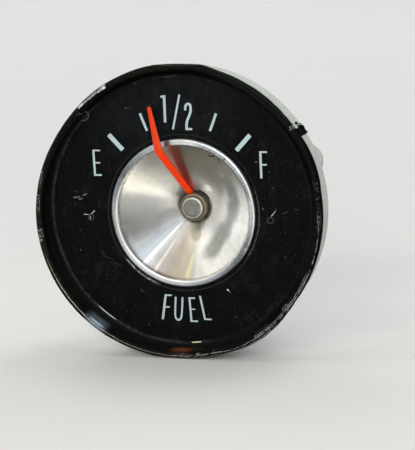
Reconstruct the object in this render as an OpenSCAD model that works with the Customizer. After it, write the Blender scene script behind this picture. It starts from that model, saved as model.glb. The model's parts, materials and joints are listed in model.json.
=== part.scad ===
// Round dashboard fuel gauge, moving-iron type.
// The dial faces -Y, +Z is up, +X is towards the F mark.
// The origin is where the axis of the round case crosses the front face of the dial.
// The pointer axis is parallel to it, 0.8 mm to the right and 0.5 mm lower.
// Inside the modules, local x is right, local y is up and local z is towards the viewer.

/* [Dial pan] */
// Outer radius of the rolled rim
rim_r = 33.2; // [33:0.1:33.4]
// Height of the rim crest above the dial face
rim_h = 4.6; // [4.2:0.1:5]
// Radius where the flat dial face turns up into the rim wall
face_r = 30.9; // [30.6:0.05:31]
// Radius of the rolled bead at the top of the rim
bead_r = 0.85; // [0.8:0.01:0.9]
// Thickness of the dial sheet
pan_t = 0.5; // [0.45:0.05:0.5]
// Radius of the small pressed step around the centre cone
step_r = 17.7; // [17.5:0.05:18]
// Angle of the small clip on the rim, counter-clockwise from +X
clip_a = 32.5; // [0:0.5:60]

/* [Pointer axis] */
// Distance of the pointer axis to the right of the case axis
pivot_x = 0.8; // [0.7:0.1:0.9]
// Height of the pointer axis above the case axis
pivot_y = -0.5; // [-0.6:0.1:-0.4]

/* [Centre cone] */
// Outer radius of the bright lip
lip_r = 16.87; // [16.6:0.01:17]
// Width of the bright lip
lip_w = 1.45; // [1.2:0.05:1.6]
// Radius of the hole at the bottom of the cone
cone_hole_r = 3.65; // [3.6:0.05:4]
// Depth of the cone below the dial face
cone_depth = 9.7; // [9.4:0.1:9.8]
// Thickness of the cone sheet
cone_t = 0.5; // [0.4:0.05:0.6]

/* [Pointer] */
// Angle of the pointer at rest, clockwise from 12 o'clock
rest_angle = -14.75; // [-45:0.25:45]
// Radius of the bend in the pointer
bend_r = 15.15; // [14.5:0.05:16]
// Height of the bend above the dial face
bend_z = 4.2; // [3.5:0.1:4.5]
// Radius of the pointer's tip
tip_r = 25.2; // [24:0.1:26]
// Height of the tip above the dial face
tip_z = 2.2; // [1.8:0.1:2.6]
// Thickness of the pointer strip
pointer_t = 0.4; // [0.3:0.05:0.5]
// Width of the pointer at its root
pointer_w0 = 1.45; // [1.2:0.05:1.6]
// Width of the pointer at the bend
pointer_w1 = 2.0; // [1.8:0.05:2.2]
// Width of the pointer at its tip
pointer_w2 = 0.9; // [0.7:0.05:1.1]
// Radius of the hub boss
hub_r = 3.25; // [3:0.05:3.3]
// Radius of the hub cap
cap_r = 2.45; // [2.2:0.05:2.6]

/* [Housing] */
// Gap between the drum of the housing and the skirt of the rim
can_gap = 0.15; // [0.1:0.05:0.2]
// Distance from the dial face back to the shoulder of the drum
shoulder_z = 9; // [9:0.1:9]
// Outer radius of the rear cup
cup_r = 21; // [21:0.1:21.5]
// Distance from the dial face back to the rear plate
back_z = 29; // [29:0.1:29]
// Thickness of the housing sheet
can_t = 0.45; // [0.4:0.05:0.45]

/* [Mounting ears] */
// Angle of the first ear, counter-clockwise from +X
ear_a = 20; // [10:1:40]
// Diameter of the circle that the ear holes lie on
ear_pcd = 54; // [53:0.5:54]
// Radius of the hole in each ear
ear_hole_r = 2.2; // [2:0.1:2.3]

/* [Terminals] */
// Radius of the terminal studs
stud_r = 2.0; // [1.8:0.1:2]
// Distance of each terminal stud from the centre line
stud_x = 10.5; // [10:0.1:11]
// Length from the dial face to the end of the studs
stud_end = 40; // [38:0.5:44]

/* [Movement] */
// Radius of the spindle
spindle_r = 0.6; // [0.5:0.05:0.7]
// Radial clearance of the spindle in its bearings
bearing_gap = 0.03; // [0.02:0.01:0.05]
// Distance from the dial face to the middle of the coils
coil_z = 19; // [19:0.1:19]

/* [Hidden] */
$fn = 96;

can_r = rim_r - pan_t - can_gap;       // outer radius of the drum, which is the mounting spigot
carrier_z1 = -shoulder_z + can_t;      // rear face of the carrier plate
carrier_z2 = carrier_z1 + 1.2;         // front face of the carrier plate
web_z1 = -13.2;                        // rear face of the movement frame's web
web_z2 = -12;                        // front face of the web
bridge_z1 = -26.2;                     // rear face of the rear bridge
bridge_z2 = -25;                       // front face of the rear bridge
rivet_x = 21.15;                       // the dial rivets, from the case axis
rivet_y = -1.8;
root_r = 2.95;                         // where the pointer leaves the boss
root_z = -9.4;
leg_r = 12.5;
pillar_x = 13;
stud_y = 9.5;
screw_y = 25.5;
coil_in = 6.2;                         // inner end of a bobbin, from the spindle
coil_out = 16.2;                       // outer end of a bobbin
empty_a = 315;                         // direction of the empty coil, counter-clockwise from +X
full_a = 225;                          // direction of the full coil
ear_z = -16;                           // front face of the ears
ear_t = 1.2;
ear_w = 8.4;

function arc(cx, cy, r, a0, a1, n) = [for (i = [0:n]) let (a = a0 + (a1 - a0) * i / n) [cx + r * cos(a), cy + r * sin(a)]];

// stands a local drawing up, so that local z points at the viewer (-Y)
module face_view() { rotate([90, 0, 0]) children(); }
// turns what is drawn along local +y to a clock angle
module clock(a) { rotate([0, 0, -a]) children(); }
// moves what is drawn round the origin onto the pointer axis
module on_pivot() { translate([pivot_x, pivot_y, 0]) children(); }
// a cylinder between two local heights
module rod(r, z1, z2, fn = 96) { translate([0, 0, min(z1, z2)]) cylinder(r = r, h = abs(z2 - z1), $fn = fn); }
// lays what is drawn along local z out along a radius at the coils' height
module radial(a) { translate([0, 0, -coil_z]) rotate([0, 0, a]) rotate([0, 90, 0]) children(); }

// ---------- dial ----------
module rim_profile() {
    bc = rim_r - bead_r;               // middle of the bead
    bz = rim_h - bead_r;
    f = 0.8;                           // fillet at the foot of the wall
    fc = face_r - 0.4;                 // middle of the fillet
    d = sqrt(pow(bc - fc, 2) + pow(bz - f, 2));
    w = atan2(bz - f, bc - fc) + asin((f + bead_r) / d) - 90;    // lean of the wall
    polygon(concat(
        [[0, 0]],
        arc(fc, f, f, -90, w, 8),
        arc(bc, bz, bead_r, 180 + w, 0, 16),
        [[rim_r, 0.2], [rim_r - pan_t, 0.2]],
        arc(bc, bz, bead_r - pan_t, 0, 180 + w, 10),
        arc(fc, f, f + pan_t, w, -90, 8),
        [[0, -pan_t]]));
}

module dial_pan() {
    color([0.05, 0.05, 0.055]) face_view() difference() {
        union() {
            difference() {
                rotate_extrude() rim_profile();
                on_pivot() rod(step_r + 0.1, -3, 3);
            }
            // the shallow step that the cone's lip sits in
            on_pivot() rotate_extrude() polygon([[15.7, -0.35], [step_r - 0.15, -0.35], [step_r + 0.15, 0], [step_r + 0.3, 0],
                [step_r + 0.3, -pan_t], [step_r + 0.1, -pan_t], [step_r - 0.2, -0.35 - pan_t], [15.7, -0.35 - pan_t]]);
            // the clip that is folded over the edge of the housing
            rotate([0, 0, clip_a]) {
                translate([rim_r - 0.45, -0.9, 0.4]) cube([1.5, 1.8, 1.6]);
                translate([rim_r + 0.75, 0, 1.25]) rotate([90, 0, 0]) cylinder(r = 0.95, h = 1.6, center = true, $fn = 48);
            }
        }
        for (s = [-1, 1]) translate([s * rivet_x, rivet_y, 0]) rod(0.6, -2, 1, 48);
    }
}

module centre_cone() {
    color([0.74, 0.74, 0.75]) face_view() on_pivot() rotate_extrude() polygon(concat(
        [[cone_hole_r, -cone_depth], [cone_hole_r + 0.02, -cone_depth - cone_t * 0.9], [cone_hole_r + 0.3, -cone_depth - cone_t * 0.86],
         [lip_r - lip_w - 0.11, -0.95], [lip_r - lip_w + 0.13, -0.7], [lip_r - lip_w + 0.13, -0.35], [lip_r, -0.35]],
        arc(lip_r - 0.35, 0.1, 0.35, 0, 90, 6),
        arc(lip_r - lip_w + 0.28, 0.17, 0.28, 90, 180, 5),
        [[lip_r - lip_w - 0.12, -0.28], [lip_r - lip_w - 0.32, -0.52]]));
}

module dial_rivets() {
    color([0.06, 0.06, 0.06]) face_view() for (s = [-1, 1]) translate([s * rivet_x, rivet_y, 0]) difference() {
        union() {
            rod(0.6, carrier_z1, 0.1, 48);
            rod(0.85, 0, 0.28, 48);
            translate([0, 0, 0.28]) cylinder(r1 = 0.85, r2 = 0.68, h = 0.12, $fn = 48);
        }
        rod(0.42, -0.5, 1, 48);
    }
}

// ---------- the turning parts ----------
inner_len = sqrt(pow(bend_r - root_r, 2) + pow(bend_z - root_z, 2));
inner_tilt = atan2(bend_z - root_z, bend_r - root_r);
outer_len = sqrt(pow(tip_r - bend_r, 2) + pow(tip_z - bend_z, 2));
outer_tilt = atan2(tip_z - bend_z, tip_r - bend_r);

module strip(w0, w1, l, r = 0) {
    translate([0, 0, -pointer_t / 2]) linear_extrude(pointer_t) union() {
        polygon([[-w0 / 2, 0], [w0 / 2, 0], [w1 / 2, l - r], [-w1 / 2, l - r]]);
        if (r > 0) translate([0, l - r]) circle(r = r, $fn = 40);
    }
}

module pointer_solid() {
    clock(rest_angle) {
        translate([0, root_r, root_z]) rotate([inner_tilt, 0, 0]) strip(pointer_w0, pointer_w1 * 0.92, inner_len);
        translate([0, bend_r, bend_z]) rotate([0, 90, 0]) cylinder(r = pointer_t / 2, h = pointer_w1 * 0.92, center = true, $fn = 32);
        translate([0, bend_r, bend_z]) rotate([outer_tilt, 0, 0]) strip(pointer_w1, pointer_w2, outer_len, pointer_w2 / 2);
    }
}

module pointer() { color([0.93, 0.27, 0.07]) face_view() on_pivot() pointer_solid(); }

module pointer_hub() {
    color([0.42, 0.38, 0.36]) face_view() on_pivot() difference() {
        union() {
            rod(hub_r - 0.25, -10.05, -9.8);
            rod(hub_r, -9.8, -8.2);
            translate([0, 0, -8.2]) cylinder(r1 = hub_r, r2 = hub_r - 0.3, h = 0.25);
        }
        pointer_solid();
        rod(spindle_r, -12, 0, 48);
    }
}

module hub_cap() {
    color([0.6, 0.6, 0.6]) face_view() on_pivot() difference() {
        union() {
            rod(cap_r, -7.95, -7.4);
            translate([0, 0, -7.4]) cylinder(r1 = cap_r, r2 = cap_r - 0.22, h = 0.2);
        }
        rod(spindle_r, -8.5, -7.55, 48);
    }
}

module spindle() {
    color([0.75, 0.75, 0.77]) face_view() on_pivot() union() {
        rod(spindle_r, -26.75, -7.55, 48);
        translate([0, 0, -27]) cylinder(r1 = spindle_r - 0.25, r2 = spindle_r, h = 0.25, $fn = 48);
    }
}

module armature() {
    color([0.35, 0.34, 0.33]) face_view() on_pivot() clock(rest_angle) difference() {
        intersection() {
            rod(4.35, -21, -17);
            translate([-1.6, -5, -22]) cube([3.2, 10, 6]);
        }
        rod(spindle_r, -23, -15, 48);
    }
}

module counterweight() {
    color([0.7, 0.58, 0.3]) face_view() on_pivot() clock(rest_angle + 180) difference() {
        union() {
            rod(1.8, -11.7, -10.8);
            translate([-0.7, 0, -11.7]) cube([1.4, 6.5, 0.9]);
            translate([0, 6.5, 0]) rod(1.5, -11.7, -10.8);
        }
        rod(spindle_r, -12, -10, 48);
    }
}

// ---------- frame of the movement ----------
module front_bearing() {
    color([0.72, 0.55, 0.25]) face_view() on_pivot() difference() {
        union() { rod(1.8, web_z1, web_z2, 64); rod(2.6, web_z1 - 0.8, web_z1, 64); }
        rod(spindle_r + bearing_gap, -15, -10, 48);
    }
}

module rear_bearing() {
    color([0.72, 0.55, 0.25]) face_view() on_pivot() difference() {
        union() { rod(1.8, bridge_z1, bridge_z2, 64); rod(2.6, bridge_z1 - 0.9, bridge_z1, 64); }
        rod(spindle_r + bearing_gap, -28, -24, 48);
    }
}

module carrier_plate() {
    color([0.66, 0.67, 0.66]) face_view() difference() {
        rod(28, carrier_z1, carrier_z2);
        on_pivot() rod(9.5, -20, 0);
        for (s = [-1, 1]) translate([s * rivet_x, rivet_y, 0]) rod(0.6, -20, 0, 48);
        on_pivot() for (a = [90, 210, 330]) rotate([0, 0, a]) translate([leg_r, 0, 0]) rod(0.85, -20, 0, 48);
        for (s = [-1, 1]) translate([0, s * screw_y, 0]) rod(1.2, -20, 0, 48);
    }
}

module support_pillars() {
    color([0.7, 0.7, 0.7]) face_view() for (s = [-1, 1]) translate([s * rivet_x, rivet_y, 0]) difference() {
        rod(2, carrier_z2, -pan_t, 64);
        rod(0.6, -20, 2, 48);
    }
}

module movement_frame() {
    color([0.6, 0.61, 0.62]) face_view() on_pivot() difference() {
        union() {
            rod(18, web_z1, web_z2);
            for (a = [90, 210, 330]) rotate([0, 0, a]) translate([leg_r, 0, 0]) rod(1.8, web_z2 - 0.2, carrier_z1, 48);
            for (a = [full_a, empty_a]) rotate([0, 0, a]) translate([coil_out, -5, -24.4]) cube([1.2, 10, 11.8]);
        }
        rod(1.8, -20, 0, 64);
        for (s = [-1, 1]) translate([s * pillar_x, 0, 0]) rod(0.9, -20, 0, 48);
        for (a = [90, 210, 330]) rotate([0, 0, a]) translate([leg_r, 0, 0]) rod(0.8, web_z1 + 0.6, 0, 48);
        for (a = [full_a, empty_a]) radial(a) rod(1.2, coil_out - 1, 20, 48);
    }
}

module slotted_screw(shank_r, shank_l, head_r, head_h) {
    difference() {
        union() {
            rod(shank_r, -shank_l, 0, 48);
            rod(head_r, 0, head_h * 0.6, 48);
            translate([0, 0, head_h * 0.6]) cylinder(r1 = head_r, r2 = head_r * 0.72, h = head_h * 0.4, $fn = 48);
        }
        translate([-head_r - 1, -head_r * 0.13, head_h * 0.45]) cube([2 * head_r + 2, head_r * 0.26, head_h]);
    }
}

module frame_screws() {
    color([0.72, 0.7, 0.62]) face_view() on_pivot() for (a = [90, 210, 330]) rotate([0, 0, a]) translate([leg_r, 0, carrier_z2])
        rotate([0, 0, 25]) slotted_screw(0.8, 4.2, 1.5, 0.9);
}

module bridge_pillars() {
    color([0.72, 0.58, 0.3]) face_view() on_pivot() for (s = [-1, 1]) translate([s * pillar_x, 0, 0]) difference() {
        union() { rod(1.6, bridge_z2, web_z1, 48); rod(0.9, web_z1 - 0.2, web_z2, 48); }
        rod(0.8, -30, bridge_z2 + 3.2, 48);
    }
}

module rear_bridge() {
    color([0.66, 0.67, 0.66]) face_view() on_pivot() difference() {
        union() {
            translate([-pillar_x, -4, bridge_z1]) cube([2 * pillar_x, 8, 1.2]);
            for (s = [-1, 1]) translate([s * pillar_x, 0, 0]) rod(4, bridge_z1, bridge_z2, 64);
        }
        rod(1.8, -30, -20, 64);
        for (s = [-1, 1]) translate([s * pillar_x, 0, 0]) rod(0.8, -30, -20, 48);
    }
}

module bridge_screws() {
    color([0.72, 0.7, 0.62]) face_view() on_pivot() for (s = [-1, 1]) translate([s * pillar_x, 0, bridge_z1]) rotate([180, 0, 0])
        rotate([0, 0, 40]) slotted_screw(0.8, 4.2, 1.5, 0.9);
}

module pointer_stops() {
    color([0.75, 0.75, 0.77]) face_view() on_pivot() for (a = [180 - 64, 180 + 64]) clock(a) translate([0, 6.5, 0]) rod(0.5, web_z2, -10.7, 40);
}

// ---------- coils ----------
module bobbin() {
    difference() {
        union() { rod(2.4, coil_in, coil_out, 64); rod(5, coil_in, coil_in + 0.7, 64); rod(5, coil_out - 0.7, coil_out, 64); }
        rod(1.75, 0, 20, 64);
    }
}
module winding() {
    difference() { rod(4.6, coil_in + 0.7, coil_out - 0.7, 64); rod(2.4, 0, 20, 64); }
}
module pole() {
    union() { rod(2.6, 5, coil_in, 64); rod(1.75, coil_in, coil_out, 64); rod(1.2, coil_out - 0.2, 19.2, 48); }
}

module empty_coil_bobbin() { color([0.45, 0.3, 0.2]) face_view() on_pivot() radial(empty_a) bobbin(); }
module empty_coil_winding() { color([0.72, 0.36, 0.2]) face_view() on_pivot() radial(empty_a) winding(); }
module empty_pole_piece() { color([0.4, 0.4, 0.42]) face_view() on_pivot() radial(empty_a) pole(); }
module full_coil_bobbin() { color([0.45, 0.3, 0.2]) face_view() on_pivot() radial(full_a) bobbin(); }
module full_coil_winding() { color([0.72, 0.36, 0.2]) face_view() on_pivot() radial(full_a) winding(); }
module full_pole_piece() { color([0.4, 0.4, 0.42]) face_view() on_pivot() radial(full_a) pole(); }

module pole_nuts() {
    color([0.72, 0.7, 0.62]) face_view() on_pivot() for (a = [empty_a, full_a]) radial(a) difference() {
        rod(2.3, coil_out + 1.2, 18.9, 6);
        rod(1.2, 0, 30, 48);
    }
}

// a wire made of straight lengths with round corners
module wire(p, r) {
    for (i = [0:len(p) - 2]) hull() {
        translate(p[i]) sphere(r = r, $fn = 10);
        translate(p[i + 1]) sphere(r = r, $fn = 10);
    }
}

module coil_leads() {
    color([0.6, 0.2, 0.12]) face_view() on_pivot() {
        wire([[9.9, -9.9, -23.9], [9.9, -9.9, -24.35], [8, 0, -24.35], [9.3, 8, -24.35], [9.3, 8, -26.1]], 0.25);
        wire([[-9.9, -9.9, -23.9], [-9.9, -9.9, -24.35], [-8, 0, -24.35], [-10.2, 8, -24.35], [-10.2, 8, -26.1]], 0.25);
        wire([[7.2, -7.2, -23.9], [7.2, -7.2, -24.35], [-7.2, -7.2, -24.35], [-7.2, -7.2, -23.9]], 0.25);
    }
}

// ---------- housing ----------
module housing_can() {
    z1 = -shoulder_z; z2 = -back_z; t = can_t;
    color([0.72, 0.78, 0.74]) face_view() difference() {
        rotate_extrude() polygon(concat(
            [[0, z2]], arc(cup_r - 1.6, z2 + 1.6, 1.6, -90, 0, 6), [[cup_r, z1 - 0.4], [cup_r + 0.4, z1]],
            arc(can_r - 1.2, z1 + 1.2, 1.2, -90, 0, 6), [[can_r, 0.3], [can_r - 0.2, 1.2], [can_r - t, 1.2]],
            arc(can_r - 1.2, z1 + 1.2, 1.2 - t, 0, -90, 5), [[cup_r + 0.1, z1 + t], [cup_r - t, z1 - 0.1]],
            arc(cup_r - 1.6, z2 + 1.6, 1.6 - t, 0, -90, 5), [[0, z2 + t]]));
        for (s = [-1, 1]) translate([s * stud_x, stud_y, 0]) rod(2.95, -40, -20, 64);
        for (s = [-1, 1]) translate([0, s * screw_y, 0]) rod(1.2, -20, 0, 48);
        for (k = [0, 180]) rotate([0, 0, ear_a + k]) for (s = [-1, 1]) translate([0, s * 2.4, -20.3])
            rotate([0, 90, 0]) cylinder(r = 0.7, h = 40, $fn = 40);
    }
}

module housing_screws() {
    color([0.6, 0.58, 0.5]) face_view() for (s = [-1, 1]) translate([0, s * screw_y, -shoulder_z]) rotate([180, 0, 0])
        rotate([0, 0, 30 * s]) slotted_screw(1.2, 2.6, 2.3, 1.3);
}

module ear() {
    difference() {
        union() {
            intersection() {
                difference() { rod(cup_r + ear_t, -23.2, ear_z); rod(cup_r, -30, 0); }
                translate([0, -ear_w / 2, -30]) cube([40, ear_w, 40]);
            }
            difference() {
                union() {
                    translate([cup_r - 4, -ear_w / 2, ear_z - ear_t]) cube([ear_pcd / 2 - cup_r + 4, ear_w, ear_t]);
                    translate([ear_pcd / 2, 0, 0]) rod(ear_w / 2, ear_z - ear_t, ear_z, 64);
                }
                rod(cup_r, -30, 0);
            }
        }
        translate([ear_pcd / 2, 0, 0]) rod(ear_hole_r, -30, 0, 64);
        for (s = [-1, 1]) translate([0, s * 2.4, -20.3]) rotate([0, 90, 0]) cylinder(r = 0.7, h = 40, $fn = 40);
    }
}

module mounting_ears() {
    color([0.72, 0.78, 0.74]) face_view() for (k = [0, 180]) rotate([0, 0, ear_a + k]) ear();
}

module ear_rivets() {
    color([0.6, 0.62, 0.62]) face_view() for (k = [0, 180]) rotate([0, 0, ear_a + k]) for (s = [-1, 1])
        translate([0, s * 2.4, -20.3]) rotate([0, 90, 0]) {
            rod(0.7, 20, 23, 40);
            translate([0, 0, 22.2]) cylinder(r1 = 1.3, r2 = 0.9, h = 0.7, $fn = 40);
            rod(1.2, 19.6, 20.2, 40);
        }
}

// ---------- terminals ----------
module stud(s) {
    translate([s * stud_x, stud_y, 0]) {
        rod(3.4, -27.5, -26.4, 64);
        rod(stud_r, -33.5, -27, 64);
        rod(stud_r - 0.35, -34.2, -33.5, 64);   // relief groove outside the nut
        rod(stud_r, -stud_end + 0.4, -34.2, 64);
        translate([0, 0, -stud_end]) cylinder(r1 = stud_r - 0.35, r2 = stud_r, h = 0.4, $fn = 64);
    }
}
module supply_terminal_stud() { color([0.74, 0.6, 0.32]) face_view() stud(1); }
module sender_terminal_stud() { color([0.74, 0.6, 0.32]) face_view() stud(-1); }

module inner_insulators() {
    color([0.42, 0.24, 0.14]) face_view() for (s = [-1, 1]) translate([s * stud_x, stud_y, 0]) difference() {
        union() { rod(4, -28.5, -27.5, 64); rod(2.95, -29, -28.4, 64); }
        rod(stud_r, -50, 0, 64);
    }
}
module outer_insulators() {
    color([0.42, 0.24, 0.14]) face_view() for (s = [-1, 1]) translate([s * stud_x, stud_y, 0]) difference() {
        rod(4.3, -30.2, -29, 64);
        rod(stud_r, -50, 0, 64);
    }
}
module terminal_washers() {
    color([0.74, 0.62, 0.36]) face_view() for (s = [-1, 1]) translate([s * stud_x, stud_y, 0]) difference() {
        rod(3.9, -30.9, -30.2, 64);
        rod(stud_r, -50, 0, 64);
    }
}
module terminal_nuts() {
    color([0.74, 0.62, 0.36]) face_view() for (s = [-1, 1]) translate([s * stud_x, stud_y, 0]) difference() {
        rotate([0, 0, 12 * s]) rod(4.04, -33.5, -30.9, 6);
        rod(stud_r, -50, 0, 64);
    }
}

dial_pan();
centre_cone();
dial_rivets();
pointer();
pointer_hub();
hub_cap();
spindle();
armature();
counterweight();
front_bearing();
rear_bearing();
carrier_plate();
support_pillars();
movement_frame();
frame_screws();
bridge_pillars();
rear_bridge();
bridge_screws();
pointer_stops();
empty_coil_bobbin();
empty_coil_winding();
empty_pole_piece();
full_coil_bobbin();
full_coil_winding();
full_pole_piece();
pole_nuts();
coil_leads();
housing_can();
housing_screws();
mounting_ears();
ear_rivets();
supply_terminal_stud();
sender_terminal_stud();
inner_insulators();
outer_insulators();
terminal_washers();
terminal_nuts();
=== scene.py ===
import bpy
import bmesh
import json
import math
import random
from mathutils import Vector, Matrix, noise


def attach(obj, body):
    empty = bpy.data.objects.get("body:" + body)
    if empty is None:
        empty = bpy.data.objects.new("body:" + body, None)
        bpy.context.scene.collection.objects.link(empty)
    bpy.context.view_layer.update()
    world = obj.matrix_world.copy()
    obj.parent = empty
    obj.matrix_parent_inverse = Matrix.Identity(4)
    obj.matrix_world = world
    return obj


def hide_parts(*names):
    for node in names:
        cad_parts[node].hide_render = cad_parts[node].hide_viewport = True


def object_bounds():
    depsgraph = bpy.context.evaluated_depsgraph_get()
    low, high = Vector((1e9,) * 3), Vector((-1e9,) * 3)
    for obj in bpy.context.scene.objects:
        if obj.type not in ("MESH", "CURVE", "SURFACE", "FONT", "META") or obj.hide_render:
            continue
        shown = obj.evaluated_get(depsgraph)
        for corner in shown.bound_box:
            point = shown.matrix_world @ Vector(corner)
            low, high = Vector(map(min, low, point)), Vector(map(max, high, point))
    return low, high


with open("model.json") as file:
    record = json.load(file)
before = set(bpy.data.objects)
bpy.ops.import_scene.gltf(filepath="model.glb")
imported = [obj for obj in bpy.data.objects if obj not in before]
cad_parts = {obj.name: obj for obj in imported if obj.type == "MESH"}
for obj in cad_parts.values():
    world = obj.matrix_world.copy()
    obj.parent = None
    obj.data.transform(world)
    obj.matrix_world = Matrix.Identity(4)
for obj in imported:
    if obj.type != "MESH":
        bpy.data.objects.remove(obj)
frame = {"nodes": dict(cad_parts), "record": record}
CAD_LO, CAD_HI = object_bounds()
NODES = frame["nodes"]
SC = bpy.context.scene

# ------------------------------------------------------------------ frame
# Sizes below are millimetres in the dial's own drawing frame: x right, y up, z towards the viewer.
PX, PY = 0.8, -0.5            # the pointer axis
PRINT = (0.39, -0.566)        # the centre of the printed scale
RIM_R, RIM_H, FACE_R, BEAD = 33.2, 4.6, 30.9, 0.85
PAN_T, STEP_R, CLIP_A = 0.5, 17.7, 32.5
LIP_R, LIP_W, HOLE_R, CONE_D, CONE_T = 16.87, 1.45, 3.65, 9.7, 0.5
REST = -14.75
BEND_R, BEND_Z, TIP_R, TIP_Z = 15.15, 4.2, 25.2, 2.2
ROOT_R, ROOT_Z = 2.95, -9.4
HUB_R, CAP_R = 3.25, 2.45
RIVET = (21.15, -1.8)


def W(x, y, z):
    return Vector((x * 0.001, -z * 0.001, y * 0.001))


def rnd(seed):
    return random.Random(seed)


def n1(x, seed=0.0):
    """Smooth noise of one number, from -1 to 1."""
    return noise.noise(Vector((x, seed * 7.31 + 0.5, seed * 3.7 + 0.25)))


def link(name, verts, faces, smooth=True, sharp=35.0, recalc=True):
    me = bpy.data.meshes.new(name)
    me.from_pydata([tuple(v) for v in verts], [], faces)
    me.validate()
    if recalc:
        bm = bmesh.new()
        bm.from_mesh(me)
        bmesh.ops.remove_doubles(bm, verts=bm.verts, dist=1e-7)
        bmesh.ops.recalc_face_normals(bm, faces=bm.faces)
        bm.to_mesh(me)
        bm.free()
    if smooth:
        me.polygons.foreach_set("use_smooth", [True] * len(me.polygons))
        me.set_sharp_from_angle(angle=math.radians(sharp))
    me.update()
    ob = bpy.data.objects.new(name, me)
    SC.collection.objects.link(ob)
    return ob


def lathe(name, prof, segs=192, c=(0.0, 0.0), f=None, closed=True, sharp=35.0):
    """A ring of profile points (r, z) or (r, z, cx, cy) turned round the axis. r = 0 makes a pole."""
    verts, rows = [], []
    for i, p in enumerate(prof):
        r, z = p[0], p[1]
        cx, cy = (p[2], p[3]) if len(p) > 2 else c
        if r < 1e-6:
            rows.append([len(verts)])
            verts.append(W(cx, cy, z))
            continue
        row = []
        for k in range(segs):
            t = 2 * math.pi * k / segs
            rr, zz = (r, z) if f is None else f(i, t, r, z)
            row.append(len(verts))
            verts.append(W(cx + rr * math.cos(t), cy + rr * math.sin(t), zz))
        rows.append(row)
    faces = []
    pairs = list(zip(rows, rows[1:] + rows[:1])) if closed else list(zip(rows, rows[1:]))
    for a, b in pairs:
        if len(a) == 1 and len(b) == 1:
            continue
        for k in range(segs):
            k2 = (k + 1) % segs
            if len(a) == 1:
                faces.append((a[0], b[k2], b[k]))
            elif len(b) == 1:
                faces.append((a[k], a[k2], b[0]))
            else:
                faces.append((a[k], a[k2], b[k2], b[k]))
    return link(name, verts, faces, sharp=sharp)


def arc(cx, cy, r, a0, a1, n):
    return [(cx + r * math.cos(math.radians(a0 + (a1 - a0) * i / n)), cy + r * math.sin(math.radians(a0 + (a1 - a0) * i / n))) for i in range(n + 1)]


def span(a, b, n):
    """n steps from point a towards point b, without b."""
    return [(a[0] + (b[0] - a[0]) * i / n, a[1] + (b[1] - a[1]) * i / n) for i in range(n)]


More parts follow.
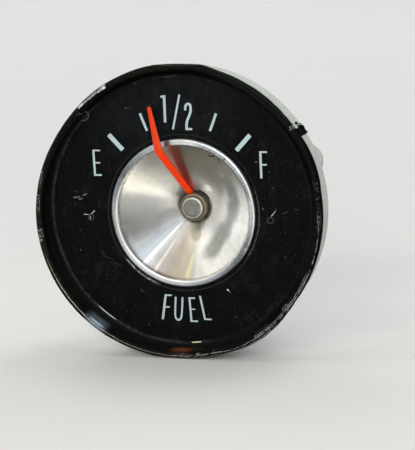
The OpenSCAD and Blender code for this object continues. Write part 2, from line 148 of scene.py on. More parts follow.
# ------------------------------------------------------------------ node writing
class G:
    """A material's node tree, written as sums."""

    def __init__(self, name):
        self.m = bpy.data.materials.new(name)
        self.m.use_nodes = True
        self.t = self.m.node_tree
        self.t.nodes.clear()
        self._xyz = None

    def node(self, kind, **props):
        n = self.t.nodes.new(kind)
        for k, v in props.items():
            setattr(n, k, v)
        return n

    def put(self, socket, value):
        if isinstance(value, bpy.types.NodeSocket):
            self.t.links.new(value, socket)
        elif isinstance(value, (tuple, list)):
            if len(value) == 3 and len(socket.default_value) == 4:
                value = (*value, 1.0)
            socket.default_value = value
        else:
            socket.default_value = value

    def math(self, op, a, b=0.0, c=0.0, clamp=False):
        n = self.node("ShaderNodeMath", operation=op, use_clamp=clamp)
        for s, v in zip(n.inputs, (a, b, c)):
            self.put(s, v)
        return n.outputs[0]

    def add(self, a, b):
        return self.math("ADD", a, b)

    def sub(self, a, b):
        return self.math("SUBTRACT", a, b)

    def mul(self, a, b):
        return self.math("MULTIPLY", a, b)

    def mx(self, a, b):
        return self.math("MAXIMUM", a, b)

    def mn(self, a, b):
        return self.math("MINIMUM", a, b)

    def vm(self, op, a, b=None, scale=None):
        n = self.node("ShaderNodeVectorMath", operation=op)
        self.put(n.inputs[0], a)
        if b is not None:
            self.put(n.inputs[1], b)
        if scale is not None:
            self.put(n.inputs["Scale"], scale)
        return n.outputs["Value"] if op in ("LENGTH", "DOT_PRODUCT", "DISTANCE") else n.outputs["Vector"]

    def step(self, x, lo, hi, a=0.0, b=1.0, smooth=True):
        """a below lo, b above hi."""
        n = self.node("ShaderNodeMapRange", interpolation_type="SMOOTHSTEP" if smooth else "LINEAR", clamp=True)
        for s, v in zip(n.inputs, (x, lo, hi, a, b)):
            self.put(s, v)
        return n.outputs[0]

    def mix(self, f, a, b, kind="RGBA", blend="MIX"):
        n = self.node("ShaderNodeMix", data_type=kind, clamp_factor=True)
        if kind == "RGBA":
            n.blend_type = blend
            ia, ib, o = n.inputs[6], n.inputs[7], n.outputs[2]
        elif kind == "FLOAT":
            ia, ib, o = n.inputs[2], n.inputs[3], n.outputs[0]
        else:
            ia, ib, o = n.inputs[4], n.inputs[5], n.outputs[1]
        self.put(n.inputs[0], f)
        self.put(ia, a)
        self.put(ib, b)
        return o

    def fmix(self, f, a, b):
        return self.mix(f, a, b, kind="FLOAT")

    def pos(self):
        """Object coordinates in millimetres, in the dial's drawing frame."""
        if self._xyz is None:
            tc = self.node("ShaderNodeTexCoord")
            s = self.node("ShaderNodeSeparateXYZ")
            self.t.links.new(tc.outputs["Object"], s.inputs[0])
            c = self.node("ShaderNodeCombineXYZ")
            self.put(c.inputs[0], self.mul(s.outputs[0], 1000.0))
            self.put(c.inputs[1], self.mul(s.outputs[2], 1000.0))
            self.put(c.inputs[2], self.mul(s.outputs[1], -1000.0))
            self._xyz = c.outputs[0]
        return self._xyz

    def sep(self, v):
        s = self.node("ShaderNodeSeparateXYZ")
        self.put(s.inputs[0], v)
        return s.outputs[0], s.outputs[1], s.outputs[2]

    def comb(self, x, y, z):
        c = self.node("ShaderNodeCombineXYZ")
        for s, v in zip(c.inputs, (x, y, z)):
            self.put(s, v)
        return c.outputs[0]

    def noise(self, scale, detail=2.0, rough=0.5, v=None, distort=0.0, out="Fac", lac=2.0):
        n = self.node("ShaderNodeTexNoise")
        self.put(n.inputs["Vector"], self.pos() if v is None else v)
        n.inputs["Scale"].default_value = scale
        n.inputs["Detail"].default_value = detail
        n.inputs["Roughness"].default_value = rough
        n.inputs["Distortion"].default_value = distort
        n.inputs["Lacunarity"].default_value = lac
        return n.outputs[out]

    def voro(self, scale, v=None, feature="F1", out="Distance", rand=1.0):
        n = self.node("ShaderNodeTexVoronoi", feature=feature)
        self.put(n.inputs["Vector"], self.pos() if v is None else v)
        n.inputs["Scale"].default_value = scale
        if "Randomness" in n.inputs:
            n.inputs["Randomness"].default_value = rand
        return n.outputs[out]

    def stretch(self, v, s, off=(0, 0, 0), rot=(0, 0, 0)):
        n = self.node("ShaderNodeMapping")
        self.put(n.inputs["Vector"], v)
        n.inputs["Location"].default_value = off
        n.inputs["Rotation"].default_value = [math.radians(a) for a in rot]
        n.inputs["Scale"].default_value = s
        return n.outputs[0]

    def polar(self, cx=0.0, cy=0.0):
        """Radius, angle in radians from +x, and height above the dial."""
        x, y, z = self.sep(self.pos())
        dx, dy = self.sub(x, cx), self.sub(y, cy)
        r = self.math("SQRT", self.add(self.mul(dx, dx), self.mul(dy, dy)))
        return r, self.math("ARCTAN2", dy, dx), z, dx, dy

    def near_angle(self, dx, dy, r, deg, half, soft):
        """1 within half degrees of an angle, falling to 0 over soft degrees."""
        a = math.radians(deg)
        c = self.math("DIVIDE", self.add(self.mul(dx, math.cos(a)), self.mul(dy, math.sin(a))), r)
        return self.step(c, math.cos(math.radians(min(half + soft, 179))), math.cos(math.radians(half)))

    def line_at(self, r, centre, half, soft):
        """1 within half of a radius, falling to 0 over soft."""
        return self.step(self.math("ABSOLUTE", self.sub(r, centre)), half + soft, half)

    def scratch(self, p, a, b, w, soft=0.6):
        """1 on the line from a to b (millimetres on the dial), w wide."""
        d = (b[0] - a[0], b[1] - a[1], 0.0)
        l2 = d[0] ** 2 + d[1] ** 2
        v1 = self.vm("SUBTRACT", p, (a[0], a[1], 0.0))
        t = self.math("MULTIPLY", self.vm("DOT_PRODUCT", v1, d), 1.0 / l2, clamp=True)
        v3 = self.vm("SUBTRACT", v1, self.vm("SCALE", d, scale=t))
        return self.step(self.vm("LENGTH", v3), w * 0.5 + w * soft * 0.5, w * 0.5 - w * soft * 0.25)

    def along(self, p, pts):
        """Distance in millimetres from a broken line on the dial."""
        best = None
        for a, b in zip(pts, pts[1:]):
            d = (b[0] - a[0], b[1] - a[1], 0.0)
            v1 = self.vm("SUBTRACT", p, (a[0], a[1], 0.0))
            t = self.math("MULTIPLY", self.vm("DOT_PRODUCT", v1, d), 1.0 / (d[0] ** 2 + d[1] ** 2), clamp=True)
            q = self.vm("LENGTH", self.vm("SUBTRACT", v1, self.vm("SCALE", d, scale=t)))
            best = q if best is None else self.mn(best, q)
        return best

    def bump(self, height, dist, normal=None, strength=1.0):
        n = self.node("ShaderNodeBump")
        n.inputs["Strength"].default_value = strength
        n.inputs["Distance"].default_value = dist
        self.put(n.inputs["Height"], height)
        if normal is not None:
            self.put(n.inputs["Normal"], normal)
        return n.outputs[0]

    def edge(self, radius=0.00012, samples=4):
        """(rounded normal, mask that is 1 at sharp edges)."""
        b = self.node("ShaderNodeBevel", samples=samples)
        b.inputs["Radius"].default_value = radius
        g = self.node("ShaderNodeNewGeometry")
        d = self.vm("DOT_PRODUCT", b.outputs[0], g.outputs["Normal"])
        return b.outputs[0], self.step(d, 0.985, 0.86)

    def done(self, **sockets):
        b = self.node("ShaderNodeBsdfPrincipled")
        for k, v in sockets.items():
            self.put(b.inputs[k.replace("_", " ")], v)
        o = self.node("ShaderNodeOutputMaterial")
        self.t.links.new(b.outputs[0], o.inputs[0])
        self.m.diffuse_color = (0.5, 0.5, 0.5, 1)
        return self.m


def lin(r, g, b):
    """An sRGB colour from 0 to 255 as scene-linear numbers."""
    return tuple((c / 255 / 12.92) if c <= 10.3 else ((c / 255 + 0.055) / 1.055) ** 2.4 for c in (r, g, b))


def give(ob, mat):
    ob.data.materials.clear()
    ob.data.materials.append(mat)
    return ob


# ------------------------------------------------------------------ materials
# a loop-shaped mark at the upper left, across the edge of the flat
LOOP = [(-21.78, 22.30), (-21.30, 22.52), (-20.88, 22.17), (-20.80, 21.26), (-21.44, 20.58), (-22.41, 20.35)]


def enamel():
    """The flat of the dial."""
    g = G("black_enamel")
    p = g.pos()
    r, ang, z, dx, dy = g.polar()
    fine = g.noise(3.2, 3, 0.6)
    cloud = g.noise(0.16, 4, 0.6, distort=0.5)
    smear = g.noise(0.55, 5, 0.7, v=g.stretch(p, (1.0, 0.5, 1.0), rot=(0, 0, 35)), distort=0.8)
    # dust that lies on the flat, thin wiping marks and specks
    dust = g.mul(g.step(smear, 0.46, 0.82), g.step(cloud, 0.36, 0.7))
    wipe = g.step(g.noise(1.0, 3, 0.55, v=g.stretch(p, (0.22, 3.4, 1.0), rot=(0, 0, 28)), distort=0.3), 0.6, 0.85)
    wipe = g.mul(wipe, g.step(g.noise(0.2, 2, 0.5, v=g.stretch(p, (1, 1, 1), off=(9, 4, 2))), 0.45, 0.65))
    specks = g.mul(g.step(g.voro(0.85), 0.11, 0.04), g.step(g.noise(0.45, 1, 0.5, v=g.stretch(p, (1, 1, 1), off=(31, 7, 0))), 0.50, 0.60))
    black = g.mix(cloud, (0.0020, 0.0021, 0.0022), (0.0040, 0.0043, 0.0042))
    black = g.mix(g.mul(g.step(fine, 0.42, 0.72), 0.6), black, (0.0100, 0.0108, 0.0108))
    grain = g.noise(1.35, 4, 0.8, v=g.stretch(p, (1, 1, 1), off=(13, 23, 0)))
    black = g.mix(g.mul(g.step(grain, 0.52, 0.78), 0.55), black, (0.018, 0.0195, 0.020))
    c = g.mix(g.mul(dust, 0.5), black, (0.026, 0.028, 0.029))
    c = g.mix(g.mul(wipe, 0.30), c, (0.030, 0.032, 0.033))
    c = g.mix(g.mul(g.near_angle(dx, dy, r, 96.0, 16.0, 34.0), g.step(smear, 0.34, 0.66, 0.25, 0.75)), c, lin(24, 27, 29))
    c = g.mix(g.mul(specks, 0.6), c, (0.11, 0.115, 0.11))
    # painted highlights along the line where the flat turns up into the wall: a pale broken line, a white glare and a
    # yellow glint
    fw = g.noise(0.45, 3, 0.6, v=g.stretch(p, (1, 1, 1), off=(3, 3, 3)))
    foot = g.mul(g.line_at(g.add(r, g.mul(g.sub(fw, 0.5), 0.35)), 30.42, 0.14, 0.34), g.step(z, 1.0, 0.6))
    broken = g.step(g.noise(1.7, 4, 0.75, v=g.stretch(p, (1, 1, 1), off=(7, 1, 3))), 0.40, 0.62, 0.25, 1.0)
    foot = g.mul(g.mul(foot, broken), g.mx(g.mul(g.near_angle(dx, dy, r, 205.0, 62.0, 26.0), g.step(fw, 0.34, 0.62, 0.45, 1.0)), 0.12))
    glare = g.mul(g.line_at(r, 30.32, 0.03, 0.12), g.mul(g.near_angle(dx, dy, r, -127.2, 1.6, 4.2), 0.9))
    glint = g.mul(g.line_at(r, 30.40, 0.05, 0.12), g.near_angle(dx, dy, r, -84.3, 1.5, 0.9))
    c = g.mix(g.mul(foot, 0.6), c, lin(70, 72, 72))
    c = g.mix(glare, c, lin(214, 222, 228))
    c = g.mix(glint, c, lin(240, 226, 178))
    flatp = g.vm("MULTIPLY", p, (1.0, 1.0, 0.0))
    c = g.mix(g.mul(g.mul(g.step(g.along(flatp, LOOP), 0.24, 0.06), g.step(fine, 0.30, 0.55, 0.35, 1.0)), 0.9), c, lin(92, 94, 90))
    # the black line of the step shows bright where it is rubbed
    rp, angp, _, dxp, dyp = g.polar(PX, PY)
    tex = g.noise(2.4, 4, 0.75)
    stepline = g.line_at(rp, STEP_R + 0.10, 0.04, 0.12)
    wear_at = g.mx(g.near_angle(dxp, dyp, rp, 233.0, 9.0, 9.0), g.mul(g.near_angle(dxp, dyp, rp, 352.0, 18.0, 12.0), 0.35))
    stepwear = g.mul(g.line_at(rp, STEP_R - 0.05, 0.05, 0.16), g.mul(wear_at, g.step(tex, 0.42, 0.6)))
    c = g.mix(g.mul(stepline, 0.5), c, lin(58, 60, 61))
    c = g.mix(g.mul(stepwear, 0.8), c, (0.6, 0.6, 0.58))
    rough = g.fmix(g.step(smear, 0.3, 0.8), 0.18, 0.28)
    rough = g.add(rough, g.mul(dust, 0.2))
    h = g.add(g.mul(g.noise(9.0, 2, 0.6), 0.10), g.mul(g.noise(1.1, 2, 0.5), 0.55))
    return g.done(Base_Color=c, Roughness=rough, IOR=1.45, Specular_IOR_Level=0.02, Normal=g.bump(h, 0.00003, strength=0.5))


def enamel_rim():
    """The wall and the rolled rim, chipped and stained, with painted reflections and glow on the wall."""
    g = G("black_enamel_rim")
    p = g.pos()
    r, ang, z, dx, dy = g.polar()

    def at(deg, half, soft):
        return g.near_angle(dx, dy, r, deg, half, soft)

    fine = g.noise(3.2, 3, 0.6)
    cloud = g.noise(0.16, 4, 0.6, distort=0.5)
    black = g.mix(cloud, (0.0020, 0.0021, 0.0022), (0.0040, 0.0043, 0.0042))
    c = g.mix(g.mul(g.step(fine, 0.45, 0.75), 0.35), black, (0.0095, 0.0103, 0.0103))
    tex = g.noise(2.4, 5, 0.75)
    tex2 = g.noise(5.5, 3, 0.7)
    # brown and olive staining
    mott = g.noise(0.95, 5, 0.78, v=g.stretch(p, (1, 1, 1), off=(17, 5, 1)))
    band = g.mul(g.step(r, 31.75, 32.05), g.step(z, 2.2, 3.3))
    olive = g.mul(g.mul(g.mx(at(180.0, 26.0, 24.0), g.mul(at(150.0, 60.0, 20.0), 0.35)), g.mul(g.step(r, 31.6, 31.95), g.step(z, 1.2, 3.2))), g.step(mott, 0.40, 0.60))
    olive = g.mx(olive, g.mul(g.mul(g.mul(at(8.0, 24.0, 14.0), band), g.step(mott, 0.45, 0.62)), 0.04))
    c = g.mix(g.mul(olive, 0.55), c, lin(46, 43, 28))
    haze = g.mul(g.mul(at(168.0, 30.0, 30.0), g.step(mott, 0.30, 0.62, 0.3, 1.0)), g.mul(g.step(z, 0.1, 0.8), g.step(z, 3.4, 2.2)))
    c = g.mix(g.mul(haze, 0.5), c, lin(27, 31, 37))
    # painted light: a soft patchy glow on the lower wall round the painted sheen
    painted_wall_glow = g.mul(g.mul(at(-104.0, 36.0, 26.0), g.step(mott, 0.25, 0.60, 0.6, 1.0)), g.mul(g.step(z, 0.0, 0.4), g.step(z, 4.4, 3.4)))
    c = g.mix(g.mul(painted_wall_glow, 0.5), c, lin(27, 29, 28))
    # painted reflection: a soft bluish sheen on the wall at the lower left, streaked across, with a painted highlight
    # line on the crest above it
    brush = g.noise(1.0, 3, 0.6, v=g.comb(g.mul(ang, 90.0), g.mul(z, 1.2), 0.0))
    sheen = g.mul(at(-127.6, 0.0, 7.6), g.step(z, 0.3, 2.8))
    sheen = g.mul(g.math("POWER", sheen, 2.6), g.step(brush, 0.30, 0.62, 0.62, 1.0))
    c = g.mix(g.mul(sheen, 0.9), c, lin(104, 117, 128))
    painted_crest_highlight = g.mul(g.mul(g.line_at(r, 31.97, 0.05, 0.12), g.step(z, 3.8, 4.3)), at(-127.4, 1.2, 2.8))
    c = g.mix(g.mul(painted_crest_highlight, 0.9), c, lin(170, 190, 206))
    # painted reflection: a warm reddish-brown spot on the wall at the bottom
    painted_warm_reflection = g.mul(g.mul(at(-89.6, 0.0, 6.4), g.step(tex, 0.24, 0.5, 0.4, 1.0)), g.mul(g.step(z, 0.1, 2.2), g.step(z, 4.7, 3.2, 0.3, 1.0)))
    c = g.mix(g.mul(g.math("POWER", painted_warm_reflection, 2.2), 0.9), c, lin(116, 66, 38))
    # the loop-shaped mark at the upper left
    flatp = g.vm("MULTIPLY", p, (1.0, 1.0, 0.0))
    c = g.mix(g.mul(g.mul(g.step(g.along(flatp, LOOP), 0.24, 0.06), g.step(tex, 0.30, 0.55, 0.35, 1.0)), 0.5), c, lin(92, 94, 90))
    # paint left at the clip, from the drum behind
    paint = g.mul(g.mul(at(35.3, 0.3, 0.6), g.mul(g.step(r, 32.9, 33.05), g.step(z, 0.0, 0.6))), g.step(g.add(g.mul(tex, 0.6), g.mul(tex2, 0.4)), 0.50, 0.58))
    c = g.mix(paint, c, lin(196, 212, 202))
    # the long bare place at the upper left, marked across by the blow
    across = g.noise(1.0, 3, 0.65, v=g.comb(g.mul(ang, 52.0), g.mul(r, 0.9), g.mul(z, 0.9)))
    ends = g.mx(at(131.0, 1.3, 0.6), g.mul(at(118.4, 0.5, 0.5), 0.6))
    big = g.mul(at(124.8, 7.0, 0.7), g.mul(g.step(g.add(r, g.mul(g.sub(across, 0.5), 0.5)), 31.8, 31.95), g.step(z, 2.0, 2.6)))
    big = g.mul(big, g.step(g.add(g.add(g.mul(tex, 0.45), g.mul(across, 0.65)), g.mul(ends, 0.3)), 0.40, 0.52))
    # two fine bright lines along the crest
    seg = g.noise(0.55, 4, 0.7, v=g.stretch(p, (1, 1, 1), off=(2, 7, 4)))
    rw = g.add(r, g.mul(g.sub(g.noise(0.8, 3, 0.6), 0.5), 0.35))
    low = g.mul(at(-54.0, 6.0, 16.0), 0.58)
    shift = g.mx(g.mul(at(-12.0, 22.0, 24.0), 0.45), low)
    line_a = g.mul(g.line_at(g.sub(rw, shift), 32.52, 0.035, 0.07), g.mul(g.step(z, 3.3, 3.6), at(-92.0, 62.0, 10.0)))
    line_a = g.mul(line_a, g.mx(g.step(seg, 0.40, 0.50), g.mul(at(-120.0, 22.0, 8.0), 0.8)))
    line_c = g.mul(g.mul(g.line_at(g.sub(rw, shift), 32.14, 0.02, 0.055), g.step(z, 3.3, 3.6)), g.mul(at(-40.0, 13.0, 5.0), g.step(tex2, 0.36, 0.48)))
    line_b = g.mul(g.mul(g.line_at(g.sub(rw, low), 33.06, 0.03, 0.07), g.step(z, 3.0, 3.4)), g.mul(g.mul(at(-50.0, 42.0, 6.0), g.sub(1.0, g.mul(at(-37.0, 8.0, 4.0), 0.95))), g.step(seg, 0.62, 0.52)))
    bare = g.mx(big, g.mul(g.mx(g.mx(line_a, line_b), line_c), 0.75))
    # places rubbed through
    rubbed = None
    for deg, half, s in [(-86.0, 5.5, 0.13), (-77.0, 5.0, 0.10), (-53.3, 3.4, 0.15), (-39.3, 1.2, 0.17), (-1.6, 3.4, 0.16), (7.5, 5.5, 0.12), (20.0, 6.0, 0.06), (-24.0, 2.0, 0.06), (166.4, 3.0, 0.15), (176.2, 3.0, 0.15), (-170.4, 2.2, 0.17), (186.0, 2.0, 0.10), (113.0, 2.5, 0.10), (73.0, 4.0, 0.06), (-156.0, 1.2, 0.06), (101.0, 4.0, 0.05), (150.0, 5.0, 0.05)]:
        q = g.mul(at(deg, half, 1.5), s)
        rubbed = q if rubbed is None else g.mx(rubbed, q)
    band = g.mul(band, g.fmix(at(10.0, 34.0, 10.0), 1.0, g.step(r, 32.60, 32.82)))
    chips = g.mul(band, g.step(g.add(g.add(g.mul(tex, 0.65), g.mul(tex2, 0.35)), rubbed), 0.70, 0.73))
    bare = g.mx(bare, g.mul(chips, 0.9))
    steel = g.mix(g.step(tex2, 0.35, 0.7), (0.20, 0.20, 0.19), (0.80, 0.81, 0.78))
    steel = g.mix(g.mul(big, 0.85), steel, g.mix(g.step(across, 0.35, 0.62), (0.06, 0.06, 0.06), (0.46, 0.46, 0.45)))
    steel = g.mix(g.mul(ends, 0.85), steel, (0.97, 0.97, 0.96))
    c = g.mix(bare, c, steel)
    rough = g.fmix(olive, g.fmix(bare, g.fmix(fine, 0.26, 0.42), 0.42), 0.6)
    h = g.add(g.mul(g.noise(9.0, 2, 0.6), 0.10), g.mul(g.noise(1.1, 2, 0.5), 0.55))
    h = g.add(h, g.mul(g.mul(at(124.8, 7.0, 0.7), across), 0.5))
    return g.done(Base_Color=c, Metallic=g.mul(bare, 0.75), Roughness=rough, IOR=1.45, Specular_IOR_Level=0.04, Normal=g.bump(h, 0.00003, strength=0.5))


def scar(name, v):
    """A scratch or fleck on the black, v as bright."""
    g = G(name)
    n = g.noise(2.6, 4, 0.7)
    f = g.noise(7.0, 2, 0.6)
    c = g.mix(g.step(n, 0.3, 0.7), (v * 0.53, v * 0.57, v * 0.59), (v * 1.2, v * 1.27, v * 1.3))
    return g.done(Base_Color=c, Roughness=g.fmix(f, 0.45, 0.65), IOR=1.45, Specular_IOR_Level=0.15, Normal=g.bump(f, 0.00001, strength=0.5))


def turned():
    g = G("spun_aluminium")
    p = g.pos()
    r, ang, z, dx, dy = g.polar(PX, PY)

    def at(deg, half, soft):
        return g.near_angle(dx, dy, r, deg, half, soft)

    # rings left by the tool
    ring = g.noise(1.0, 4, 0.65, v=g.comb(g.mul(r, 5.5), 0.0, 0.0))
    ring2 = g.noise(1.0, 2, 0.5, v=g.comb(g.mul(r, 15.0), g.mul(ang, 0.35), 0.0))
    blot = g.noise(0.30, 3, 0.55, v=g.stretch(p, (1, 1, 1), off=(0, 11, 0)), distort=0.4)
    lip = g.step(r, LIP_R - LIP_W - 0.05, LIP_R - LIP_W + 0.12)
    wear = g.noise(1.7, 4, 0.7)
    tear = g.mul(g.step(g.math("ABSOLUTE", g.sub(r, LIP_R - LIP_W - 0.12)), 0.28, 0.05),
                 g.mul(at(58.0, 26.0, 10.0), g.step(wear, 0.46, 0.54)))
    tear = g.mx(tear, g.mul(g.step(g.along(g.vm("MULTIPLY", p, (1.0, 1.0, 0.0)), [(15.2, -6.9), (14.6, -8.3)]), 0.22, 0.08), 0.7))
    groove = g.step(g.math("ABSOLUTE", g.sub(r, LIP_R - LIP_W - 0.16)), 0.26, 0.05)
    c = g.mix(g.step(blot, 0.3, 0.7), (0.72, 0.72, 0.71), (0.78, 0.775, 0.76))
    c = g.mix(g.mul(g.step(ring, 0.35, 0.7), 0.12), c, (0.55, 0.55, 0.54))
    c = g.mix(g.mul(g.step(ring2, 0.45, 0.7), 0.08), c, (0.9, 0.9, 0.9))
    cloud = g.noise(0.42, 4, 0.7, v=g.stretch(p, (1, 1, 1), off=(4, 19, 0)), distort=0.6)
    rays = g.noise(1.0, 3, 0.6, v=g.comb(g.mul(ang, 16.0), g.mul(r, 0.12), 0.0))
    # painted reflections and shade on the spun face, with some brushing and staining: darker brown at the top, a cream
    # highlight patch, bright streaks, a dark curved band with a glow beside it
    flatp = g.vm("MULTIPLY", p, (1.0, 1.0, 0.0))
    soft = g.vm("ADD", flatp, g.vm("SCALE", g.vm("SUBTRACT", g.noise(0.35, 2, 0.5, out="Color"), (0.5, 0.5, 0.5)), scale=1.2))
    # painted shade: a darker brown reflection at the top
    brown = g.mul(at(66.0, 26.0, 34.0), g.step(r, 4.5, 10.0))
    c = g.mix(g.mul(brown, 0.9), c, (0.31, 0.285, 0.22))
    # painted reflection: a lighter reddish band where the pointer is mirrored at rest
    c = g.mix(g.mul(g.mul(at(101.0, 3.0, 5.0), g.step(r, 5.0, 8.5)), 0.6), c, (0.66, 0.46, 0.34))
    # painted shade: darker on the left
    left = g.mul(at(184.0, 12.0, 22.0), g.step(r, 4.0, 9.0))
    c = g.mix(g.mul(left, 0.8), c, (0.40, 0.41, 0.41))
    # painted light: brighter tints at the upper left, the lower right and the lower left, and painted shade: a darker
    # tint at the lower left
    c = g.mix(g.mul(at(133.0, 14.0, 18.0), g.step(r, 5.0, 9.0, 0.3, 1.0)), c, (1.0, 0.985, 0.93))
    c = g.mix(g.mul(at(-28.0, 36.0, 24.0), 0.8), c, (0.95, 0.94, 0.91))
    c = g.mix(g.mul(at(204.0, 12.0, 14.0), 0.25), c, (0.93, 0.96, 0.98))
    c = g.mix(g.mul(at(222.0, 14.0, 8.0), 0.35), c, (0.55, 0.58, 0.60))
    # painted highlights: a cream patch at the upper left, a bluish halo above the hub, a brighter area right of the hub
    # and a white glint at the upper right of the hub
    cream = g.step(g.along(soft, [(-12.6, 6.1), (-8.8, 6.4)]), 3.4, 0.4)
    c = g.mix(g.mul(cream, 0.55), c, (0.94, 0.90, 0.80))
    halo = g.mul(g.step(g.math("ABSOLUTE", g.sub(r, 4.9)), 1.5, 0.2), at(80.0, 45.0, 25.0))
    c = g.mix(g.mul(halo, 0.75), c, (0.95, 0.97, 0.98))
    c = g.mix(g.mul(g.step(r, 8.0, 5.0), g.mul(at(0.0, 62.0, 22.0), 0.9)), c, (1.0, 0.985, 0.96))
    spot = g.step(g.along(flatp, [(4.4, 4.1), (4.7, 3.9)]), 1.25, 0.3)
    c = g.mix(spot, c, (1.0, 1.0, 1.0))
    # painted shade: a dark curved band on the right of the cone, with a painted glow of light beside it
    shade_band_dist = g.along(soft, [(10.6, 6.0), (11.3, 4.4), (11.7, 1.6), (10.9, -1.6), (9.6, -4.2)])
    shade_band_tail = g.sub(g.along(soft, [(8.8, -5.2), (7.4, -7.4), (6.0, -9.6)]), 0.4)
    shade_band_dist = g.mn(shade_band_dist, shade_band_tail)
    wide = g.noise(0.22, 1, 0.5, v=g.stretch(p, (1, 1, 1), off=(8, 3, 0)))
    shade_band_dist = g.add(shade_band_dist, g.mul(g.sub(wide, 0.5), 1.6))
    glow = g.mul(g.step(shade_band_dist, 3.6, 1.4), g.near_angle(dx, dy, r, -12.0, 34.0, 20.0))
    c = g.mix(g.mul(glow, 0.6), c, (0.98, 0.97, 0.94))
    c = g.mix(g.mul(g.step(shade_band_dist, 2.7, 0.4), 0.95), c, (0.33, 0.33, 0.32))
    # painted reflection of the hub on the cone below it
    strip = g.step(g.along(soft, [(1.0, -4.2), (1.45, -7.0)]), 1.65, 0.8)
    c = g.mix(g.mul(strip, 0.75), c, (0.36, 0.35, 0.31))
    # painted reflections below the hub: a bluish flank, a white streak, a darker tint between the streaks, a pale
    # streak and a yellow wedge
    blue = g.mul(at(-136.5, 3.5, 7.0), g.mul(g.step(r, 4.5, 6.0), at(-146.0, 16.5, 1.6)))
    c = g.mix(g.mul(blue, 0.85), c, (0.48, 0.53, 0.58))
    white = g.mul(at(-129.6, 0.7, 2.0), g.step(r, 4.2, 5.2))
    c = g.mix(white, c, (1.0, 1.0, 1.0))
    between = g.mul(at(-103.0, 17.0, 6.0), g.step(r, 6.5, 9.5))
    c = g.mix(g.mul(between, 0.7), c, (0.56, 0.525, 0.49))
    pale = g.mul(at(-118.4, 0.2, 2.2), g.step(r, 7.2, 9.5))
    c = g.mix(g.mul(pale, 0.9), c, (1.0, 0.96, 0.90))
    gold = g.mul(g.step(g.along(flatp, [(1.58, -10.8), (1.08, -15.0)]), g.step(r, 9.0, 15.0, 0.45, 1.15), 0.05), g.step(r, 9.6, 12.5, 0.35, 1.0))
    c = g.mix(gold, c, (1.0, 0.94, 0.66))
    c = g.mix(g.mul(g.step(cloud, 0.42, 0.7), 0.20), c, (0.44, 0.44, 0.42))
    c = g.mix(g.mul(g.step(cloud, 0.46, 0.25), 0.22), c, (1.0, 1.0, 0.98))
    c = g.mix(g.mul(g.step(rays, 0.45, 0.7), 0.14), c, (0.42, 0.42, 0.41))
    c = g.mix(lip, c, g.mix(g.step(wear, 0.3, 0.75), (0.66, 0.69, 0.72), (0.50, 0.53, 0.56)))
    c = g.mix(g.mul(g.mul(g.line_at(r, LIP_R - LIP_W + 0.30, 0.10, 0.16), g.step(wear, 0.36, 0.6, 0.3, 1.0)), 0.75), c, (0.97, 0.98, 0.99))
    c = g.mix(g.mul(groove, g.add(0.30, g.mul(g.step(wear, 0.4, 0.6), 0.35))), c, (0.16, 0.16, 0.145))
    c = g.mix(g.mul(tear, 0.75), c, (0.10, 0.09, 0.085))
    # the lip is darker and nicked inside its bright edge at the upper right, with bent dark marks below it
    nick = g.noise(1.0, 3, 0.6, v=g.comb(g.mul(ang, 42.0), g.mul(r, 0.5), 0.0))
    shade = g.mul(g.mul(g.step(r, LIP_R - 0.42, LIP_R - 0.72), lip), at(44.0, 26.0, 10.0))
    c = g.mix(g.mul(shade, g.step(nick, 0.34, 0.58, 0.45, 1.0)), c, (0.25, 0.26, 0.27))
    mark = g.step(g.along(flatp, [(6.83, 12.60), (7.26, 12.33), (7.81, 12.29), (8.57, 12.58)]), 0.29, 0.11)
    mark = g.mx(mark, g.mul(g.step(g.along(flatp, [(8.98, 11.77), (9.51, 11.49), (9.38, 10.74)]), 0.27, 0.07), 0.7))
    mark = g.mx(mark, g.step(g.along(flatp, [(10.85, 11.80), (11.10, 12.00)]), 0.30, 0.12))
    c = g.mix(g.mul(mark, 0.92), c, (0.085, 0.065, 0.05))
    # painted shade: the edge of the hole is darkened at the upper right where it turns away
    c = g.mix(g.mul(g.step(r, 4.15, 3.95), at(52.0, 20.0, 10.0)), c, (0.015, 0.015, 0.014))
    # dulled places
    dull = g.mx(g.mul(at(-10.0, 44.0, 24.0), 0.2), g.mul(at(150.0, 16.0, 16.0), 0.2))
    dull = g.mul(g.mul(dull, g.step(r, 4.0, 5.4)), g.step(shade_band_dist, 1.2, 2.6, 0.3, 1.0))
    dull = g.mx(g.mul(dull, g.sub(1.0, lip)), g.mx(g.mul(spot, 0.8), g.mul(g.mul(g.step(r, 7.2, 4.6), g.step(r, 4.1, 4.4)), g.mul(at(2.0, 50.0, 20.0), 0.5))))
    rough = g.fmix(g.step(blot, 0.3, 0.75), 0.33, 0.38)
    rough = g.add(rough, g.mul(tear, 0.2))
    h = g.add(g.mul(ring, 0.45), g.mul(ring2, 0.25))
    h = g.add(h, g.mul(g.noise(0.45, 2, 0.5), 0.25))
    h = g.sub(h, g.mul(tear, 0.35))
    geo = g.node("ShaderNodeNewGeometry")
    sx, sy, sz = g.sep(geo.outputs["Position"])
    tan = g.vm("NORMALIZE", g.comb(g.sub(sx, PX * 0.001), 0.0, g.sub(sz, PY * 0.001)))
    return g.done(Base_Color=c, Metallic=g.sub(1.0, dull), Roughness=rough, Anisotropic=0.86, Tangent=tan, Normal=g.bump(h, 0.00002, strength=0.35))


